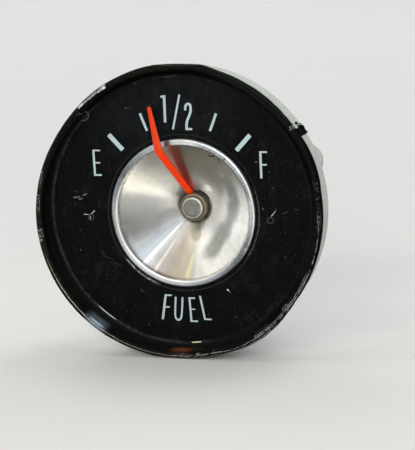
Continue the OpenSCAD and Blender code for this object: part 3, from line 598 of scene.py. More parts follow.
def orange():
    g = G("orange_paint")
    p = g.pos()
    a = math.radians(90 - REST)
    # coordinates along and across the pointer
    x, y, z = g.sep(p)
    u = g.add(g.mul(g.sub(x, PX), math.cos(a)), g.mul(g.sub(y, PY), math.sin(a)))
    v = g.sub(g.mul(g.sub(x, PX), math.sin(a)), g.mul(g.sub(y, PY), math.cos(a)))
    streak = g.noise(1.0, 4, 0.6, v=g.comb(g.mul(u, 0.55), g.mul(v, 5.0), z))
    fine = g.noise(7.0, 3, 0.6)
    nrm, edge = g.edge(0.00012)
    c = g.mix(streak, lin(248, 50, 4), lin(255, 74, 14))
    # painted highlight: a lighter patch on one side at the bend; painted shade: the outer arm past the bend darker
    c = g.mix(g.mul(g.step(u, 14.2, 15.6), g.step(v, -0.1, 0.5, 0.05, 0.32)), c, lin(250, 120, 66))
    c = g.mix(g.step(u, 14.6, 15.4, 0.0, 0.52), c, lin(150, 36, 12))
    dirt = g.mul(g.step(g.noise(1.3, 5, 0.75, v=g.stretch(p, (1, 1, 1), off=(3, 1, 7))), 0.56, 0.74), 0.45)
    c = g.mix(dirt, c, lin(176, 44, 14))
    worn = g.mul(edge, g.step(g.noise(3.0, 4, 0.7), 0.5, 0.66))
    c = g.mix(g.mul(worn, 0.6), c, lin(214, 150, 110))
    rough = g.fmix(streak, 0.42, 0.62)
    h = g.add(g.mul(streak, 0.7), g.mul(fine, 0.3))
    return g.done(Base_Color=c, Roughness=rough, IOR=1.45, Specular_IOR_Level=0.14, Normal=g.bump(h, 0.000025, normal=nrm, strength=0.5))


def ink():
    g = G("printed_ink")
    p = g.pos()
    n = g.noise(2.2, 4, 0.65)
    f = g.noise(8.0, 3, 0.7)
    c = g.mix(n, lin(146, 166, 172), lin(184, 202, 207))
    hole = g.step(g.add(g.mul(n, 0.5), g.mul(f, 0.5)), 0.62, 0.70)
    c = g.mix(g.mul(hole, 0.6), c, lin(84, 96, 100))
    dirt = g.step(g.noise(0.6, 4, 0.6, v=g.stretch(p, (1, 1, 1), off=(2, 5, 0))), 0.5, 0.75)
    c = g.mix(g.mul(dirt, 0.35), c, lin(150, 160, 158))
    return g.done(Base_Color=c, Roughness=g.fmix(f, 0.5, 0.7), IOR=1.45, Specular_IOR_Level=0.3, Normal=g.bump(f, 0.00001, strength=0.4))


def boss():
    g = G("hub_bronze")
    p = g.pos()
    r, ang, z, dx, dy = g.polar(PX, PY)
    tar = g.noise(0.9, 5, 0.7, distort=0.5)
    turn = g.noise(1.0, 3, 0.6, v=g.comb(g.mul(r, 7.0), g.mul(z, 7.0), 0.0))
    nrm, edge = g.edge(0.00010)
    c = g.mix(tar, lin(92, 85, 72), lin(136, 130, 113))
    c = g.mix(g.mul(g.step(turn, 0.45, 0.7), 0.35), c, lin(92, 78, 66))
    c = g.mix(g.mul(g.step(g.noise(2.4, 4, 0.7, v=g.stretch(p, (1, 1, 1), off=(1, 2, 3))), 0.55, 0.7), 0.5), c, lin(84, 66, 52))
    c = g.mix(g.mul(edge, 0.35), c, lin(176, 172, 158))
    return g.done(Base_Color=c, Metallic=0.85, Roughness=g.fmix(tar, 0.36, 0.55), Normal=g.bump(g.add(turn, g.mul(tar, 0.6)), 0.00003, normal=nrm, strength=0.5))


def cap():
    g = G("cap_steel")
    p = g.pos()
    r, ang, z, dx, dy = g.polar(PX, PY)
    nrm, edge = g.edge(0.00010)
    q1 = g.noise(1.0, 3, 0.6, v=g.stretch(p, (0.7, 9.0, 1.0), rot=(0, 0, 52)))
    q2 = g.noise(1.0, 3, 0.6, v=g.stretch(p, (0.6, 8.0, 1.0), off=(5, 2, 0), rot=(0, 0, -24)))
    q3 = g.noise(1.0, 3, 0.6, v=g.stretch(p, (0.8, 11.0, 1.0), off=(1, 7, 0), rot=(0, 0, 8)))
    scr = g.mx(g.mx(g.step(q1, 0.60, 0.68), g.step(q2, 0.63, 0.70)), g.step(q3, 0.64, 0.71))
    blot = g.noise(0.8, 4, 0.65, distort=0.6)
    c = g.mix(blot, lin(112, 112, 106), lin(150, 150, 144))
    c = g.mix(g.mul(g.step(blot, 0.52, 0.7), 0.5), c, lin(92, 88, 80))
    c = g.mix(g.mul(scr, 0.6), c, lin(200, 200, 196))
    # painted highlight: a bright ring on the chamfer round the cap's edge
    painted_chamfer_highlight = g.mul(g.step(r, CAP_R - 0.42, CAP_R - 0.25), 1.0)
    c = g.mix(g.mul(painted_chamfer_highlight, 0.6), c, lin(224, 224, 220))
    h = g.sub(g.mul(blot, 0.35), g.mul(scr, 0.8))
    return g.done(Base_Color=c, Metallic=1.0, Roughness=g.fmix(blot, 0.38, 0.5), Normal=g.bump(h, 0.00002, normal=nrm, strength=0.55))


def mint():
    g = G("mint_grey_paint")
    p = g.pos()
    x, y, z = g.sep(p)
    nrm, edge = g.edge(0.00015)
    n = g.noise(0.22, 4, 0.6, distort=0.4)
    fine = g.noise(5.0, 3, 0.6)
    run = g.noise(1.0, 3, 0.6, v=g.stretch(p, (0.5, 0.5, 6.0)))
    c = g.mix(n, lin(196, 208, 198), lin(214, 222, 214))
    c = g.mix(g.mul(g.step(x, 14.0, 30.0), 0.7), c, lin(214, 216, 213))
    c = g.mix(g.mul(g.step(run, 0.5, 0.75), 0.22), c, lin(166, 176, 168))
    grime = g.mul(g.step(g.noise(0.7, 5, 0.72, v=g.stretch(p, (1, 1, 1), off=(6, 2, 9))), 0.52, 0.72), 0.38)
    c = g.mix(grime, c, lin(140, 138, 122))
    spot = g.mul(g.step(g.voro(0.9), 0.08, 0.03), g.step(g.noise(0.3, 1, 0.5, v=g.stretch(p, (1, 1, 1), off=(1, 1, 5))), 0.5, 0.6))
    c = g.mix(g.mul(spot, 0.6), c, lin(96, 88, 74))
    bare = g.mul(edge, g.step(g.noise(1.8, 5, 0.75), 0.46, 0.56))
    c = g.mix(bare, c, lin(150, 148, 142))
    rough = g.fmix(n, 0.36, 0.52)
    h = g.sub(g.add(g.mul(fine, 0.2), g.mul(g.noise(1.4, 3, 0.5), 0.6)), g.mul(bare, 0.7))
    return g.done(Base_Color=c, Metallic=g.mul(bare, 0.8), Roughness=rough, IOR=1.45, Specular_IOR_Level=0.4, Normal=g.bump(h, 0.00004, normal=nrm, strength=0.5))


def metal(name, dark, light, rough=(0.3, 0.5), tarnish=None, lay=(1.0, 1.0, 6.0), edge_light=None, amount=0.5, bump=0.4, metallic=1.0):
    """Plain worn metal: dark and light are sRGB, lay is the direction of its fine scratches."""
    g = G(name)
    p = g.pos()
    nrm, edge = g.edge(0.00012)
    n = g.noise(0.5, 5, 0.65, distort=0.5)
    s = g.noise(1.0, 3, 0.6, v=g.stretch(p, tuple(2.2 * a for a in lay)))
    c = g.mix(n, lin(*dark), lin(*light))
    c = g.mix(g.mul(g.step(s, 0.5, 0.72), 0.3), c, lin(*[min(255, int(a * 1.18)) for a in light]))
    if tarnish:
        c = g.mix(g.mul(g.step(g.noise(1.1, 5, 0.72, v=g.stretch(p, (1, 1, 1), off=(4, 9, 2))), 0.48, 0.72), amount), c, lin(*tarnish))
    c = g.mix(g.mul(edge, 0.5), c, lin(*(edge_light or [min(255, int(a * 1.25)) for a in light])))
    h = g.add(g.mul(n, 0.4), g.mul(s, 0.6))
    return g.done(Base_Color=c, Metallic=metallic, Roughness=g.fmix(n, *rough), Normal=g.bump(h, 0.00003, normal=nrm, strength=bump))


def solid(name, dark, light, rough=(0.4, 0.6), fleck=None, scale=1.4, layers=None):
    """Moulded or pressed insulating stuff."""
    g = G(name)
    p = g.pos()
    nrm, edge = g.edge(0.00012)
    n = g.noise(scale, 5, 0.65, distort=0.3)
    f = g.noise(scale * 5, 3, 0.6)
    c = g.mix(n, lin(*dark), lin(*light))
    if layers:
        x, y, z = g.sep(p)
        c = g.mix(g.mul(g.step(g.noise(1.0, 2, 0.5, v=g.comb(0.0, 0.0, g.mul(z, 9.0))), 0.45, 0.65), 0.4), c, lin(*layers))
    if fleck:
        c = g.mix(g.mul(g.step(f, 0.58, 0.7), 0.4), c, lin(*fleck))
    c = g.mix(g.mul(edge, 0.35), c, lin(*[min(255, int(a * 1.35)) for a in light]))
    return g.done(Base_Color=c, Roughness=g.fmix(n, *rough), IOR=1.5, Specular_IOR_Level=0.4, Normal=g.bump(g.add(n, g.mul(f, 0.3)), 0.00004, normal=nrm, strength=0.4))


def wire():
    """Fine enamelled wire, drawn as rings round the pointer axis."""
    g = G("copper_winding")
    p = g.pos()
    x, y, z = g.sep(p)
    dx, dy = g.sub(x, PX), g.sub(y, PY)
    r = g.math("SQRT", g.add(g.mul(dx, dx), g.mul(dy, dy)))
    turns = g.math("PINGPONG", g.mul(r, 1.0), 0.11)
    h = g.step(turns, 0.0, 0.11)
    n = g.noise(0.8, 4, 0.6)
    c = g.mix(n, lin(150, 74, 38), lin(196, 104, 58))
    c = g.mix(g.mul(g.step(h, 0.5, 0.0), 0.6), c, lin(70, 28, 14))
    return g.done(Base_Color=c, Metallic=0.8, Roughness=g.fmix(n, 0.25, 0.4), Normal=g.bump(h, 0.00006, strength=0.8))


M = {
    "black_enamel": enamel(),
    "spun_aluminium": turned(),
    "orange_paint": orange(),
    "hub_bronze": boss(),
    "cap_steel": cap(),
    "mint_grey_paint": mint(),
    "copper_winding": wire(),
    "black_rivet": metal("black_rivet", (16, 16, 17), (30, 31, 32), (0.3, 0.5), tarnish=(58, 56, 52), edge_light=(92, 92, 90), amount=0.35, metallic=0.0),
    "bright_steel": metal("bright_steel", (164, 166, 168), (200, 202, 203), (0.24, 0.38), tarnish=(132, 126, 114)),
    "soft_iron": metal("soft_iron", (98, 96, 94), (130, 128, 124), (0.42, 0.6), tarnish=(104, 76, 54)),
    "brass": metal("brass", (160, 128, 66), (204, 172, 98), (0.28, 0.46), tarnish=(112, 84, 46), lay=(6.0, 1.0, 1.0)),
    "zinc_plate": metal("zinc_plate", (150, 152, 150), (186, 188, 184), (0.36, 0.52), tarnish=(150, 140, 116), lay=(6.0, 1.0, 1.0)),
    "die_cast_zinc": metal("die_cast_zinc", (128, 130, 132), (156, 158, 160), (0.46, 0.62), tarnish=(112, 112, 108)),
    "plated_screw": metal("plated_screw", (166, 158, 128), (204, 196, 164), (0.28, 0.44), tarnish=(130, 112, 76), lay=(1.0, 6.0, 1.0)),
    "phenolic_brown": solid("phenolic_brown", (74, 44, 28), (104, 66, 42), fleck=(130, 92, 62)),
    "vulcanised_fibre": solid("vulcanised_fibre", (104, 50, 34), (134, 70, 48), rough=(0.5, 0.7), fleck=(150, 92, 66), layers=(84, 38, 26)),
    "lead_enamel": solid("lead_enamel", (138, 58, 34), (168, 78, 46), rough=(0.3, 0.45)),
}
INK = ink()
RIM = enamel_rim()

# every CAD node gets its slot's material
for row in frame["record"]["subparts"]:
    give(NODES[row["node"]], M[row["material_slot"]])

# ------------------------------------------------------------------ dial pan
BC, BZ = RIM_R - BEAD, RIM_H - BEAD
FIL = 0.8
FC = FACE_R - 0.4
_d = math.hypot(BC - FC, BZ - FIL)
LEAN = math.degrees(math.atan2(BZ - FIL, BC - FC)) + math.degrees(math.asin((FIL + BEAD) / _d)) - 90

# small dents in the rolled rim: clock-free angle in degrees, width in degrees, depth in mm, and how far the crest drops
DENTS = [(134, 2.6, 0.10, 0.12), (128, 1.6, 0.07, 0.08), (139, 1.8, 0.08, 0.10), (151, 2.2, 0.04, 0.05), (172, 2.0, 0.05, 0.03), (98, 1.2, 0.05, 0.05),
         (60, 1.4, 0.06, 0.05), (47, 1.1, 0.06, 0.06), (41.5, 0.8, 0.12, 0.10), (31, 1.6, 0.05, 0.04), (12, 1.0, 0.05, 0.03), (348, 1.4, 0.05, 0.04),
         (331, 1.0, 0.08, 0.05), (324, 0.8, 0.08, 0.06), (318, 1.6, 0.06, 0.05), (309, 1.3, 0.10, 0.08), (303, 1.0, 0.07, 0.06), (293, 1.4, 0.05, 0.05), (282, 1.0, 0.07, 0.05), (271, 1.2, 0.08, 0.06),
         (262, 0.9, 0.05, 0.04), (243, 1.6, 0.05, 0.03), (221, 1.2, 0.04, 0.03), (204, 1.0, 0.05, 0.03)]


# the rim is a little out of round: harmonics of its extra radius in mm
ROUND = (0.054, 0.192, -0.137, -0.052, 0.278, -0.064, -0.181, 0.11, 0.097, -0.004, 0.091)


def out_of_round(t):
    return ROUND[0] + sum(ROUND[2 * k - 1] * math.cos(k * t) + ROUND[2 * k] * math.sin(k * t) for k in range(1, 6))


def rim_wear(i, t, r, z):
    if r < 30.75:
        return r, z
    a = math.degrees(t) % 360
    k = min(1.0, max(0.0, (r - 31.3) / 0.8))
    dr = 0.018 * n1(a * 0.55, 1) + 0.010 * n1(a * 1.9, 2) - 0.02
    dz = 0.012 * n1(a * 0.4, 3) + 0.008 * n1(a * 2.3, 4) - 0.014
    for c, w, dep, drop in DENTS:
        e = (a - c + 180) % 360 - 180
        if abs(e) < 3 * w:
            q = math.exp(-(e / w) ** 2)
            if r > 32.3:
                dr -= dep * q * 0.7
            if z > 3.2:
                dz -= drop * q
    # the rolled edge moves as one piece, the wall leans with it and the skirt's foot stays round
    lift = min(1.0, max(0.0, (z - 0.4) / 2.6))
    lift = lift * lift * (3 - 2 * lift) * min(1.0, max(0.0, (r - 30.75) / 0.6))
    o = out_of_round(t) + sum(h * math.exp(-(((a - c + 180) % 360 - 180) / w) ** 2) for c, w, h in ((24, 19, 0.72), (80, 9, 0.42), (306, 14, 0.62)))
    dr = k * dr + o * lift
    nr, nz = r + dr, z + k * (dz if z > 2.5 else 0.0)
    # the edge never passes the flat sides of its box
    m = max(abs(math.cos(t)), abs(math.sin(t)))
    return min(nr, (RIM_R - 0.004) / m - (RIM_R - r if r > 32.6 else 0.0) * 0.6), nz


inner = [(15.72, -0.35), (16.6, -0.35), (STEP_R - 0.22, -0.35), (STEP_R - 0.13, -0.345), (STEP_R - 0.02, -0.27), (STEP_R + 0.04, -0.08), (STEP_R + 0.13, -0.005), (STEP_R + 0.24, 0.0)]
inner = [(r, z, PX, PY) for r, z in inner]
back_in = [(STEP_R + 0.12, -PAN_T), (STEP_R + 0.05, -0.52), (STEP_R - 0.16, -0.83), (STEP_R - 0.24, -0.85), (15.72, -0.85), (15.68, -0.78), (15.68, -0.42)]
back_in = [(r, z, PX, PY) for r, z in back_in]
prof = list(inner)
prof += [(r, 0.0, 0, 0) for r in (20.2, 22.5, 25.0, 27.5, 29.4)]
prof += [(r, z, 0, 0) for r, z in arc(FC, FIL, FIL, -90, LEAN, 12)]
wall_a, wall_b = (FC + FIL * math.cos(math.radians(LEAN)), FIL + FIL * math.sin(math.radians(LEAN))), (BC + BEAD * math.cos(math.radians(180 + LEAN)), BZ + BEAD * math.sin(math.radians(180 + LEAN)))
prof += [(r, z, 0, 0) for r, z in span(wall_a, wall_b, 6)[1:]]
prof += [(r, z, 0, 0) for r, z in arc(BC, BZ, BEAD, 180 + LEAN, 0, 22)]
prof += [(RIM_R, z, 0, 0) for z in (3.2, 2.4, 1.6, 0.9, 0.32)]
prof += [(RIM_R - 0.05, 0.22, 0, 0), (RIM_R - 0.2, 0.2, 0, 0), (RIM_R - PAN_T + 0.06, 0.2, 0, 0), (RIM_R - PAN_T, 0.27, 0, 0)]
prof += [(RIM_R - PAN_T, z, 0, 0) for z in (1.2, 2.6)]
prof += [(r, z, 0, 0) for r, z in arc(BC, BZ, BEAD - PAN_T, 0, 180 + LEAN, 12)]
prof += [(r, z, 0, 0) for r, z in arc(FC, FIL, FIL + PAN_T, LEAN, -90, 8)]
prof += [(r, -PAN_T, 0, 0) for r in (28.0, 24.0, 20.2)]
prof += back_in
pan = give(lathe("dial_plate", prof, segs=480, f=rim_wear, sharp=50), M["black_enamel"])
pan.data.materials.append(RIM)
for f_ in pan.data.polygons:
    if math.hypot(f_.center.x, f_.center.z) > 0.03072:
        f_.material_index = 1
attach(pan, "gauge_body")
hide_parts("dial_pan")


def extrude_strip(name, path, half_w, segs, place, bevel=0.07, jitter=0.0, seed=1):
    """A closed outline in the (radial, height) plane, drawn out sideways with rounded side edges."""
    r0 = rnd(seed)
    offs = [(-half_w, bevel), (-half_w + bevel * 0.3, bevel * 0.3), (-half_w + bevel, 0.0)]
    for i in range(1, segs):
        offs.append((-half_w + 2 * half_w * i / segs, 0.0))
    offs += [(half_w - bevel, 0.0), (half_w - bevel * 0.3, bevel * 0.3), (half_w, bevel)]
    n = len(path)
    cen = (sum(p[0] for p in path) / n, sum(p[1] for p in path) / n)
    verts, faces = [], []
    nx = []
    for i in range(n):
        a, b = path[i - 1], path[(i + 1) % n]
        tx, tz = b[0] - a[0], b[1] - a[1]
        l = math.hypot(tx, tz) or 1
        nx.append((tz / l, -tx / l))
    for s, inset in offs:
        for i, (u, v) in enumerate(path):
            j = jitter * r0.uniform(-1, 1)
            verts.append(place(u - nx[i][0] * inset + j, s + j, v - nx[i][1] * inset))
    m = len(offs)
    for k in range(m - 1):
        for i in range(n):
            i2 = (i + 1) % n
            faces.append((k * n + i, k * n + i2, (k + 1) * n + i2, (k + 1) * n + i))
    faces.append(tuple(range(n - 1, -1, -1)))
    faces.append(tuple((m - 1) * n + i for i in range(n)))
    return link(name, verts, faces, sharp=50)


# the clip: a tongue of the rim's skirt, pulled out and curled back over the edge of the drum
ca = math.radians(CLIP_A)


def clip_place(u, s, v):
    return W(u * math.cos(ca) - s * math.sin(ca), u * math.sin(ca) + s * math.cos(ca), v)


cc = (RIM_R + 0.85, 1.25)
outer_c = arc(cc[0], cc[1], 1.12, 125, -165, 18)
inner_c = arc(cc[0], cc[1], 0.52, -165, 118, 14)
tongue = [(RIM_R - 0.42, 1.96), (RIM_R - 0.05, 1.94)] + outer_c + inner_c + [(RIM_R + 0.1, 1.45), (RIM_R - 0.42, 1.48)]
clip = extrude_strip("rim_clip", tongue, 0.95, 9, clip_place, bevel=0.26, jitter=0.075, seed=5)
give(clip, RIM)
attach(clip, "gauge_body")


def lumps(name, rows, seed):
    """Small uneven crumbs: angle, radius, height, and half sizes along the rim, outward and up."""
    r0 = rnd(seed)
    bm = bmesh.new()
    for a, rr, zz, su, sv, sw in rows:
        start = len(bm.verts)
        bmesh.ops.create_icosphere(bm, subdivisions=4, radius=1.0)
        bm.verts.ensure_lookup_table()
        t = math.radians(a)
        ks = [(r0.uniform(1.5, 4.5), r0.uniform(0, 6), r0.uniform(0, 6), r0.uniform(0.05, 0.13)) for _ in range(6)]
        for v in bm.verts[start:]:
            x, y, z = v.co
            k = 1.0 + sum(m * math.sin(q * x + o) * math.cos(q * y + w + z * q * 0.7) for q, o, w, m in ks)
            along_, out_, up_ = x * su * k, y * sv * k, z * sw * k
            lx = (rr + out_) * math.cos(t) - along_ * math.sin(t)
            ly = (rr + out_) * math.sin(t) + along_ * math.cos(t)
            v.co = W(lx, ly, zz + up_)
    me = bpy.data.meshes.new(name)
    bm.to_mesh(me)
    bm.free()
    me.polygons.foreach_set("use_smooth", [True] * len(me.polygons))
    ob = bpy.data.objects.new(name, me)
    SC.collection.objects.link(ob)
    return ob


crumbs = give(lumps("clip_crumbs", [(34.6, 34.75, 1.9, 0.52, 0.50, 0.42), (35.9, 34.35, 1.7, 0.36, 0.30, 0.32), (31.2, 34.5, 1.5, 0.34, 0.42, 0.5), (33.4, 35.05, 1.6, 0.5, 0.32, 0.45)], 11), RIM)
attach(crumbs, "gauge_body")
flakes = give(lumps("paint_flakes", [(35.4, 33.66, 2.2, 0.34, 0.30, 0.10), (36.3, 33.50, 2.5, 0.20, 0.16, 0.09), (34.8, 34.00, 2.3, 0.17, 0.20, 0.09)], 23), M["mint_grey_paint"])
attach(flakes, "gauge_body")

# ------------------------------------------------------------------ centre cone
LW = LIP_R - LIP_W


def cone_wear(i, t, r, z):
    a = math.degrees(t) % 360
    if r > LW - 0.1:
        nick = 0.0
        for c, w, d in ((63, 1.6, 0.03), (55, 1.1, 0.04), (44, 1.4, 0.03), (38, 0.9, 0.04), (332, 0.7, 0.02), (150, 1.4, 0.015)):
            e = (a - c + 180) % 360 - 180
            nick += d * math.exp(-(e / w) ** 2)
        return r, z - (nick if z > 0 else 0.0) + 0.008 * n1(a * 0.5, 9)
    if r < HOLE_R + 0.9:
        return r, z
    # the spun sheet is a little uneven
    return r, z + 0.02 * n1(a * 0.045 + r * 0.02, 6) + 0.008 * n1(a * 0.11, 7 + r * 0.05)


slope_a, slope_b = (HOLE_R + 0.02, -CONE_D), (LW - 0.32, -0.52)
cone_prof = [(HOLE_R, -CONE_D - 0.06)]
cone_prof += [(HOLE_R + 0.06, -CONE_D + 0.02)]
cone_prof += span((HOLE_R + 0.16, -CONE_D + 0.11), slope_b, 26)
cone_prof += [(LW - 0.32, -0.52), (LW - 0.20, -0.37), (LW - 0.12, -0.28), (LW - 0.03, -0.12), (LW, 0.08)]
cone_prof += arc(LW + 0.28, 0.17, 0.28, 170, 95, 7)
cone_prof += [(LW + 0.42, 0.452), (LIP_R - 0.55, 0.452)]
cone_prof += arc(LIP_R - 0.35, 0.1, 0.35, 90, 0, 9)
cone_prof += [(LIP_R, -0.15), (LIP_R - 0.01, -0.33), (LIP_R - 0.10, -0.35), (LW + 0.2, -0.35), (LW + 0.13, -0.42), (LW + 0.13, -0.70), (LW - 0.11, -0.95)]
cone_prof += span((LW - 0.4, -1.17), (HOLE_R + 0.3, -CONE_D - 0.42), 10)[0:]
cone_prof += [(HOLE_R + 0.3, -CONE_D - 0.42), (HOLE_R + 0.05, -CONE_D - 0.43), (HOLE_R, -CONE_D - 0.36)]
cone = give(lathe("cone_spun", cone_prof, segs=360, c=(PX, PY), f=cone_wear, sharp=55), M["spun_aluminium"])
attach(cone, "gauge_body")
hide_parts("centre_cone")

# ------------------------------------------------------------------ dial rivets
parts = []
for s in (-1, 1):
    c = (s * RIVET[0], RIVET[1])
    pr = [(0.42, -0.5), (0.42, 0.16), (0.45, 0.24), (0.50, 0.31), (0.57, 0.365), (0.64, 0.385), (0.71, 0.37), (0.78, 0.315), (0.83, 0.22), (0.85, 0.12), (0.85, 0.02), (0.60, 0.01), (0.60, -0.5)]
    parts.append(lathe("rivet_part", pr, segs=64, c=c, sharp=60))
rivets = parts[0]


def join(objs, name):
    bm = bmesh.new()
    for o in objs:
        bm.from_mesh(o.data)
    me = bpy.data.meshes.new(name)
    bm.to_mesh(me)
    bm.free()
    me.polygons.foreach_set("use_smooth", [True] * len(me.polygons))
    me.set_sharp_from_angle(angle=math.radians(40))
    ob = bpy.data.objects.new(name, me)
    SC.collection.objects.link(ob)
    for o in objs:
        bpy.data.objects.remove(o)
    return ob


rivets = give(join(parts, "rivet_heads"), M["black_rivet"])
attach(rivets, "gauge_body")
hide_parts("dial_rivets")

# ------------------------------------------------------------------ pointer
ra = math.radians(REST)
PDIR = (math.sin(ra), math.cos(ra))      # along the pointer, on the dial
PSIDE = (math.cos(ra), -math.sin(ra))    # to its right


def pointer_point(rho, side, z):
    return W(PX + PDIR[0] * rho + PSIDE[0] * side, PY + PDIR[1] * rho + PSIDE[1] * side, z)


tilt1 = math.atan2(BEND_Z - ROOT_Z, BEND_R - ROOT_R)
tilt2 = math.atan2(TIP_Z - BEND_Z, TIP_R - BEND_R)
turn_r = 0.75
back = turn_r * math.tan((tilt1 - tilt2) / 2)
path = []
r_in = 1.3
for i in range(14):
    f = i / 13
    rho = r_in + (BEND_R - back * math.cos(tilt1) - r_in) * f
    path.append((rho, ROOT_Z + (rho - ROOT_R) * math.tan(tilt1), tilt1))
b1 = (BEND_R - back * math.cos(tilt1), BEND_Z - back * math.sin(tilt1))
cxb, czb = b1[0] + turn_r * math.sin(tilt1), b1[1] - turn_r * math.cos(tilt1)
for i in range(1, 9):
    t = tilt1 + (tilt2 - tilt1) * i / 8
    path.append((cxb - turn_r * math.sin(t), czb + turn_r * math.cos(t), t))
b2 = path[-1]
tip_round = 0.45
for i in range(1, 12):
    f = i / 11
    path.append((b2[0] + (TIP_R - tip_round * math.cos(tilt2) - b2[0]) * f, b2[1] + (TIP_Z - tip_round * math.sin(tilt2) - b2[1]) * f, tilt2))
end = path[-1]
for i in range(1, 9):
    q = math.sin(math.pi / 2 * i / 8)
    path.append((end[0] + tip_round * q * math.cos(tilt2), end[1] + tip_round * q * math.sin(tilt2), tilt2))
total = 0.0
lens = [0.0]
for a, b in zip(path, path[1:]):
    total += math.hypot(b[0] - a[0], b[1] - a[1])
    lens.append(total)
l_bend = lens[17]
l_tip = lens[13 + 8 + 11]
pv, pf = [], []
T2, BV = 0.2, 0.07
for i, (rho, z, t) in enumerate(path):
    l = lens[i]
    if l <= l_bend:
        w = 1.42 + (1.86 - 1.42) * (l / l_bend) ** 1.1
    else:
        w = 1.86 + (0.90 - 1.86) * min(1.0, (l - l_bend) / (l_tip - l_bend)) ** 0.92
    half = w / 2
    if l > l_tip:
        k = (l - l_tip) / tip_round
        half *= math.sqrt(max(0.0, 1 - k * k))
    half = max(half, 0.03) + 0.008 * n1(l * 1.7, 11)
    bv = min(BV, half * 0.6)
    up = (-math.sin(t), math.cos(t))
    t2 = T2 if l < l_tip else max(0.06, T2 * (1 - 0.5 * ((l - l_tip) / tip_round) ** 3))
    # the strip is very slightly dished by its shears
    ring = [(-half, -t2 + bv), (-half + bv, -t2), (0, -t2), (half - bv, -t2), (half, -t2 + bv), (half, t2 - bv), (half - bv * 0.35, t2 - bv * 0.35), (half - bv, t2), (half * 0.4, t2 - 0.012), (0, t2 - 0.016), (-half * 0.4, t2 - 0.012), (-half + bv, t2), (-half + bv * 0.35, t2 - bv * 0.35), (-half, t2 - bv)]
    for s, h in ring:
        pv.append(pointer_point(rho + up[0] * h, s, z + up[1] * h))
nr = 14
for i in range(len(path) - 1):
    for k in range(nr):
        k2 = (k + 1) % nr
        pf.append((i * nr + k, i * nr + k2, (i + 1) * nr + k2, (i + 1) * nr + k))
pf.append(tuple(range(nr - 1, -1, -1)))
pf.append(tuple((len(path) - 1) * nr + k for k in range(nr)))
pointer = give(link("pointer_strip", pv, pf, sharp=60), M["orange_paint"])
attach(pointer, "pointer_assembly")
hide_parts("pointer")

# ------------------------------------------------------------------ hub
hub_prof = [(0.0, -10.04), (HUB_R - 0.35, -10.04), (HUB_R - 0.22, -10.02), (HUB_R - 0.10, -9.93), (HUB_R - 0.03, -9.8), (HUB_R - 0.01, -9.6),
            (HUB_R, -9.45), (HUB_R, -8.95), (HUB_R - 0.03, -8.9), (HUB_R - 0.03, -8.82), (HUB_R, -8.77), (HUB_R, -8.3), (HUB_R - 0.02, -8.2), (HUB_R - 0.10, -8.08), (HUB_R - 0.22, -7.99), (HUB_R - 0.34, -7.96),
            (CAP_R + 0.22, -7.955), (CAP_R + 0.12, -7.975), (CAP_R + 0.03, -8.02), (CAP_R - 0.05, -8.04), (0.0, -8.04)]
hub = give(lathe("hub_boss", hub_prof, segs=128, c=(PX, PY), closed=False, sharp=50), M["hub_bronze"])
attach(hub, "pointer_assembly")
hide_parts("pointer_hub")
cap_prof = [(0.0, -7.95), (CAP_R - 0.06, -7.95), (CAP_R - 0.01, -7.92), (CAP_R, -7.85), (CAP_R, -7.5), (CAP_R - 0.02, -7.42), (CAP_R - 0.10, -7.31), (CAP_R - 0.18, -7.235), (CAP_R - 0.25, -7.207),
            (CAP_R - 0.6, -7.2), (1.2, -7.2), (0.5, -7.203), (0.0, -7.203)]
capo = give(lathe("hub_cap_disc", cap_prof, segs=128, c=(PX, PY), closed=False, sharp=50), M["cap_steel"])
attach(capo, "pointer_assembly")
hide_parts("hub_cap")


# ------------------------------------------------------------------ terminals at the back
STUD_X, STUD_Y = 10.5, 9.5


def tri(x):
    x = x % 1.0
    return 1 - abs(2 * x - 1)


def stud(name, s):
    """A threaded stud with a head inside the drum, a relief groove outside the nut and a chamfered end."""
    c = (s * STUD_X, STUD_Y)
    pitch = 0.7
    zs = []
    z = -27.6
    while z > -39.95:
        zs.append(z)
        z -= pitch / 10
    zs.append(-40.0)
    prof = [(0.0, -26.4), (3.25, -26.4), (3.36, -26.46), (3.4, -26.6), (3.4, -27.3), (3.36, -27.44), (3.25, -27.5), (2.0, -27.52)]
    n0 = len(prof)
    prof += [(2.0, z) for z in zs] + [(0.0, -40.0)]

    def f(i, t, r, z):
        if i < n0 or r < 1e-6:
            return r, z
        k = 0.34 * (1 - tri(z / pitch + t / (2 * math.pi))) ** 1.0
        fade = min(1.0, max(0.0, (-27.6 - z) / 0.8))
        rr = 1.985 - k * fade
        g1 = min(1.0, max(0.0, 1 - abs(z + 33.85) / 0.42) * 2.2)
        rr = rr * (1 - g1) + 1.64 * g1
        if z < -39.55:
            rr = min(rr, 1.985 - (-39.55 - z) * 0.8)
        return rr, z
    ob = give(lathe(name, prof, segs=56, c=c, f=f, closed=False, sharp=40), M["brass"])
    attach(ob, "gauge_body")
    return ob


for nm, nd, s in (("supply_stud_threaded", "supply_terminal_stud", 1), ("sender_stud_threaded", "sender_terminal_stud", -1)):
    ob = stud(nm, s)
    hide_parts(nd)


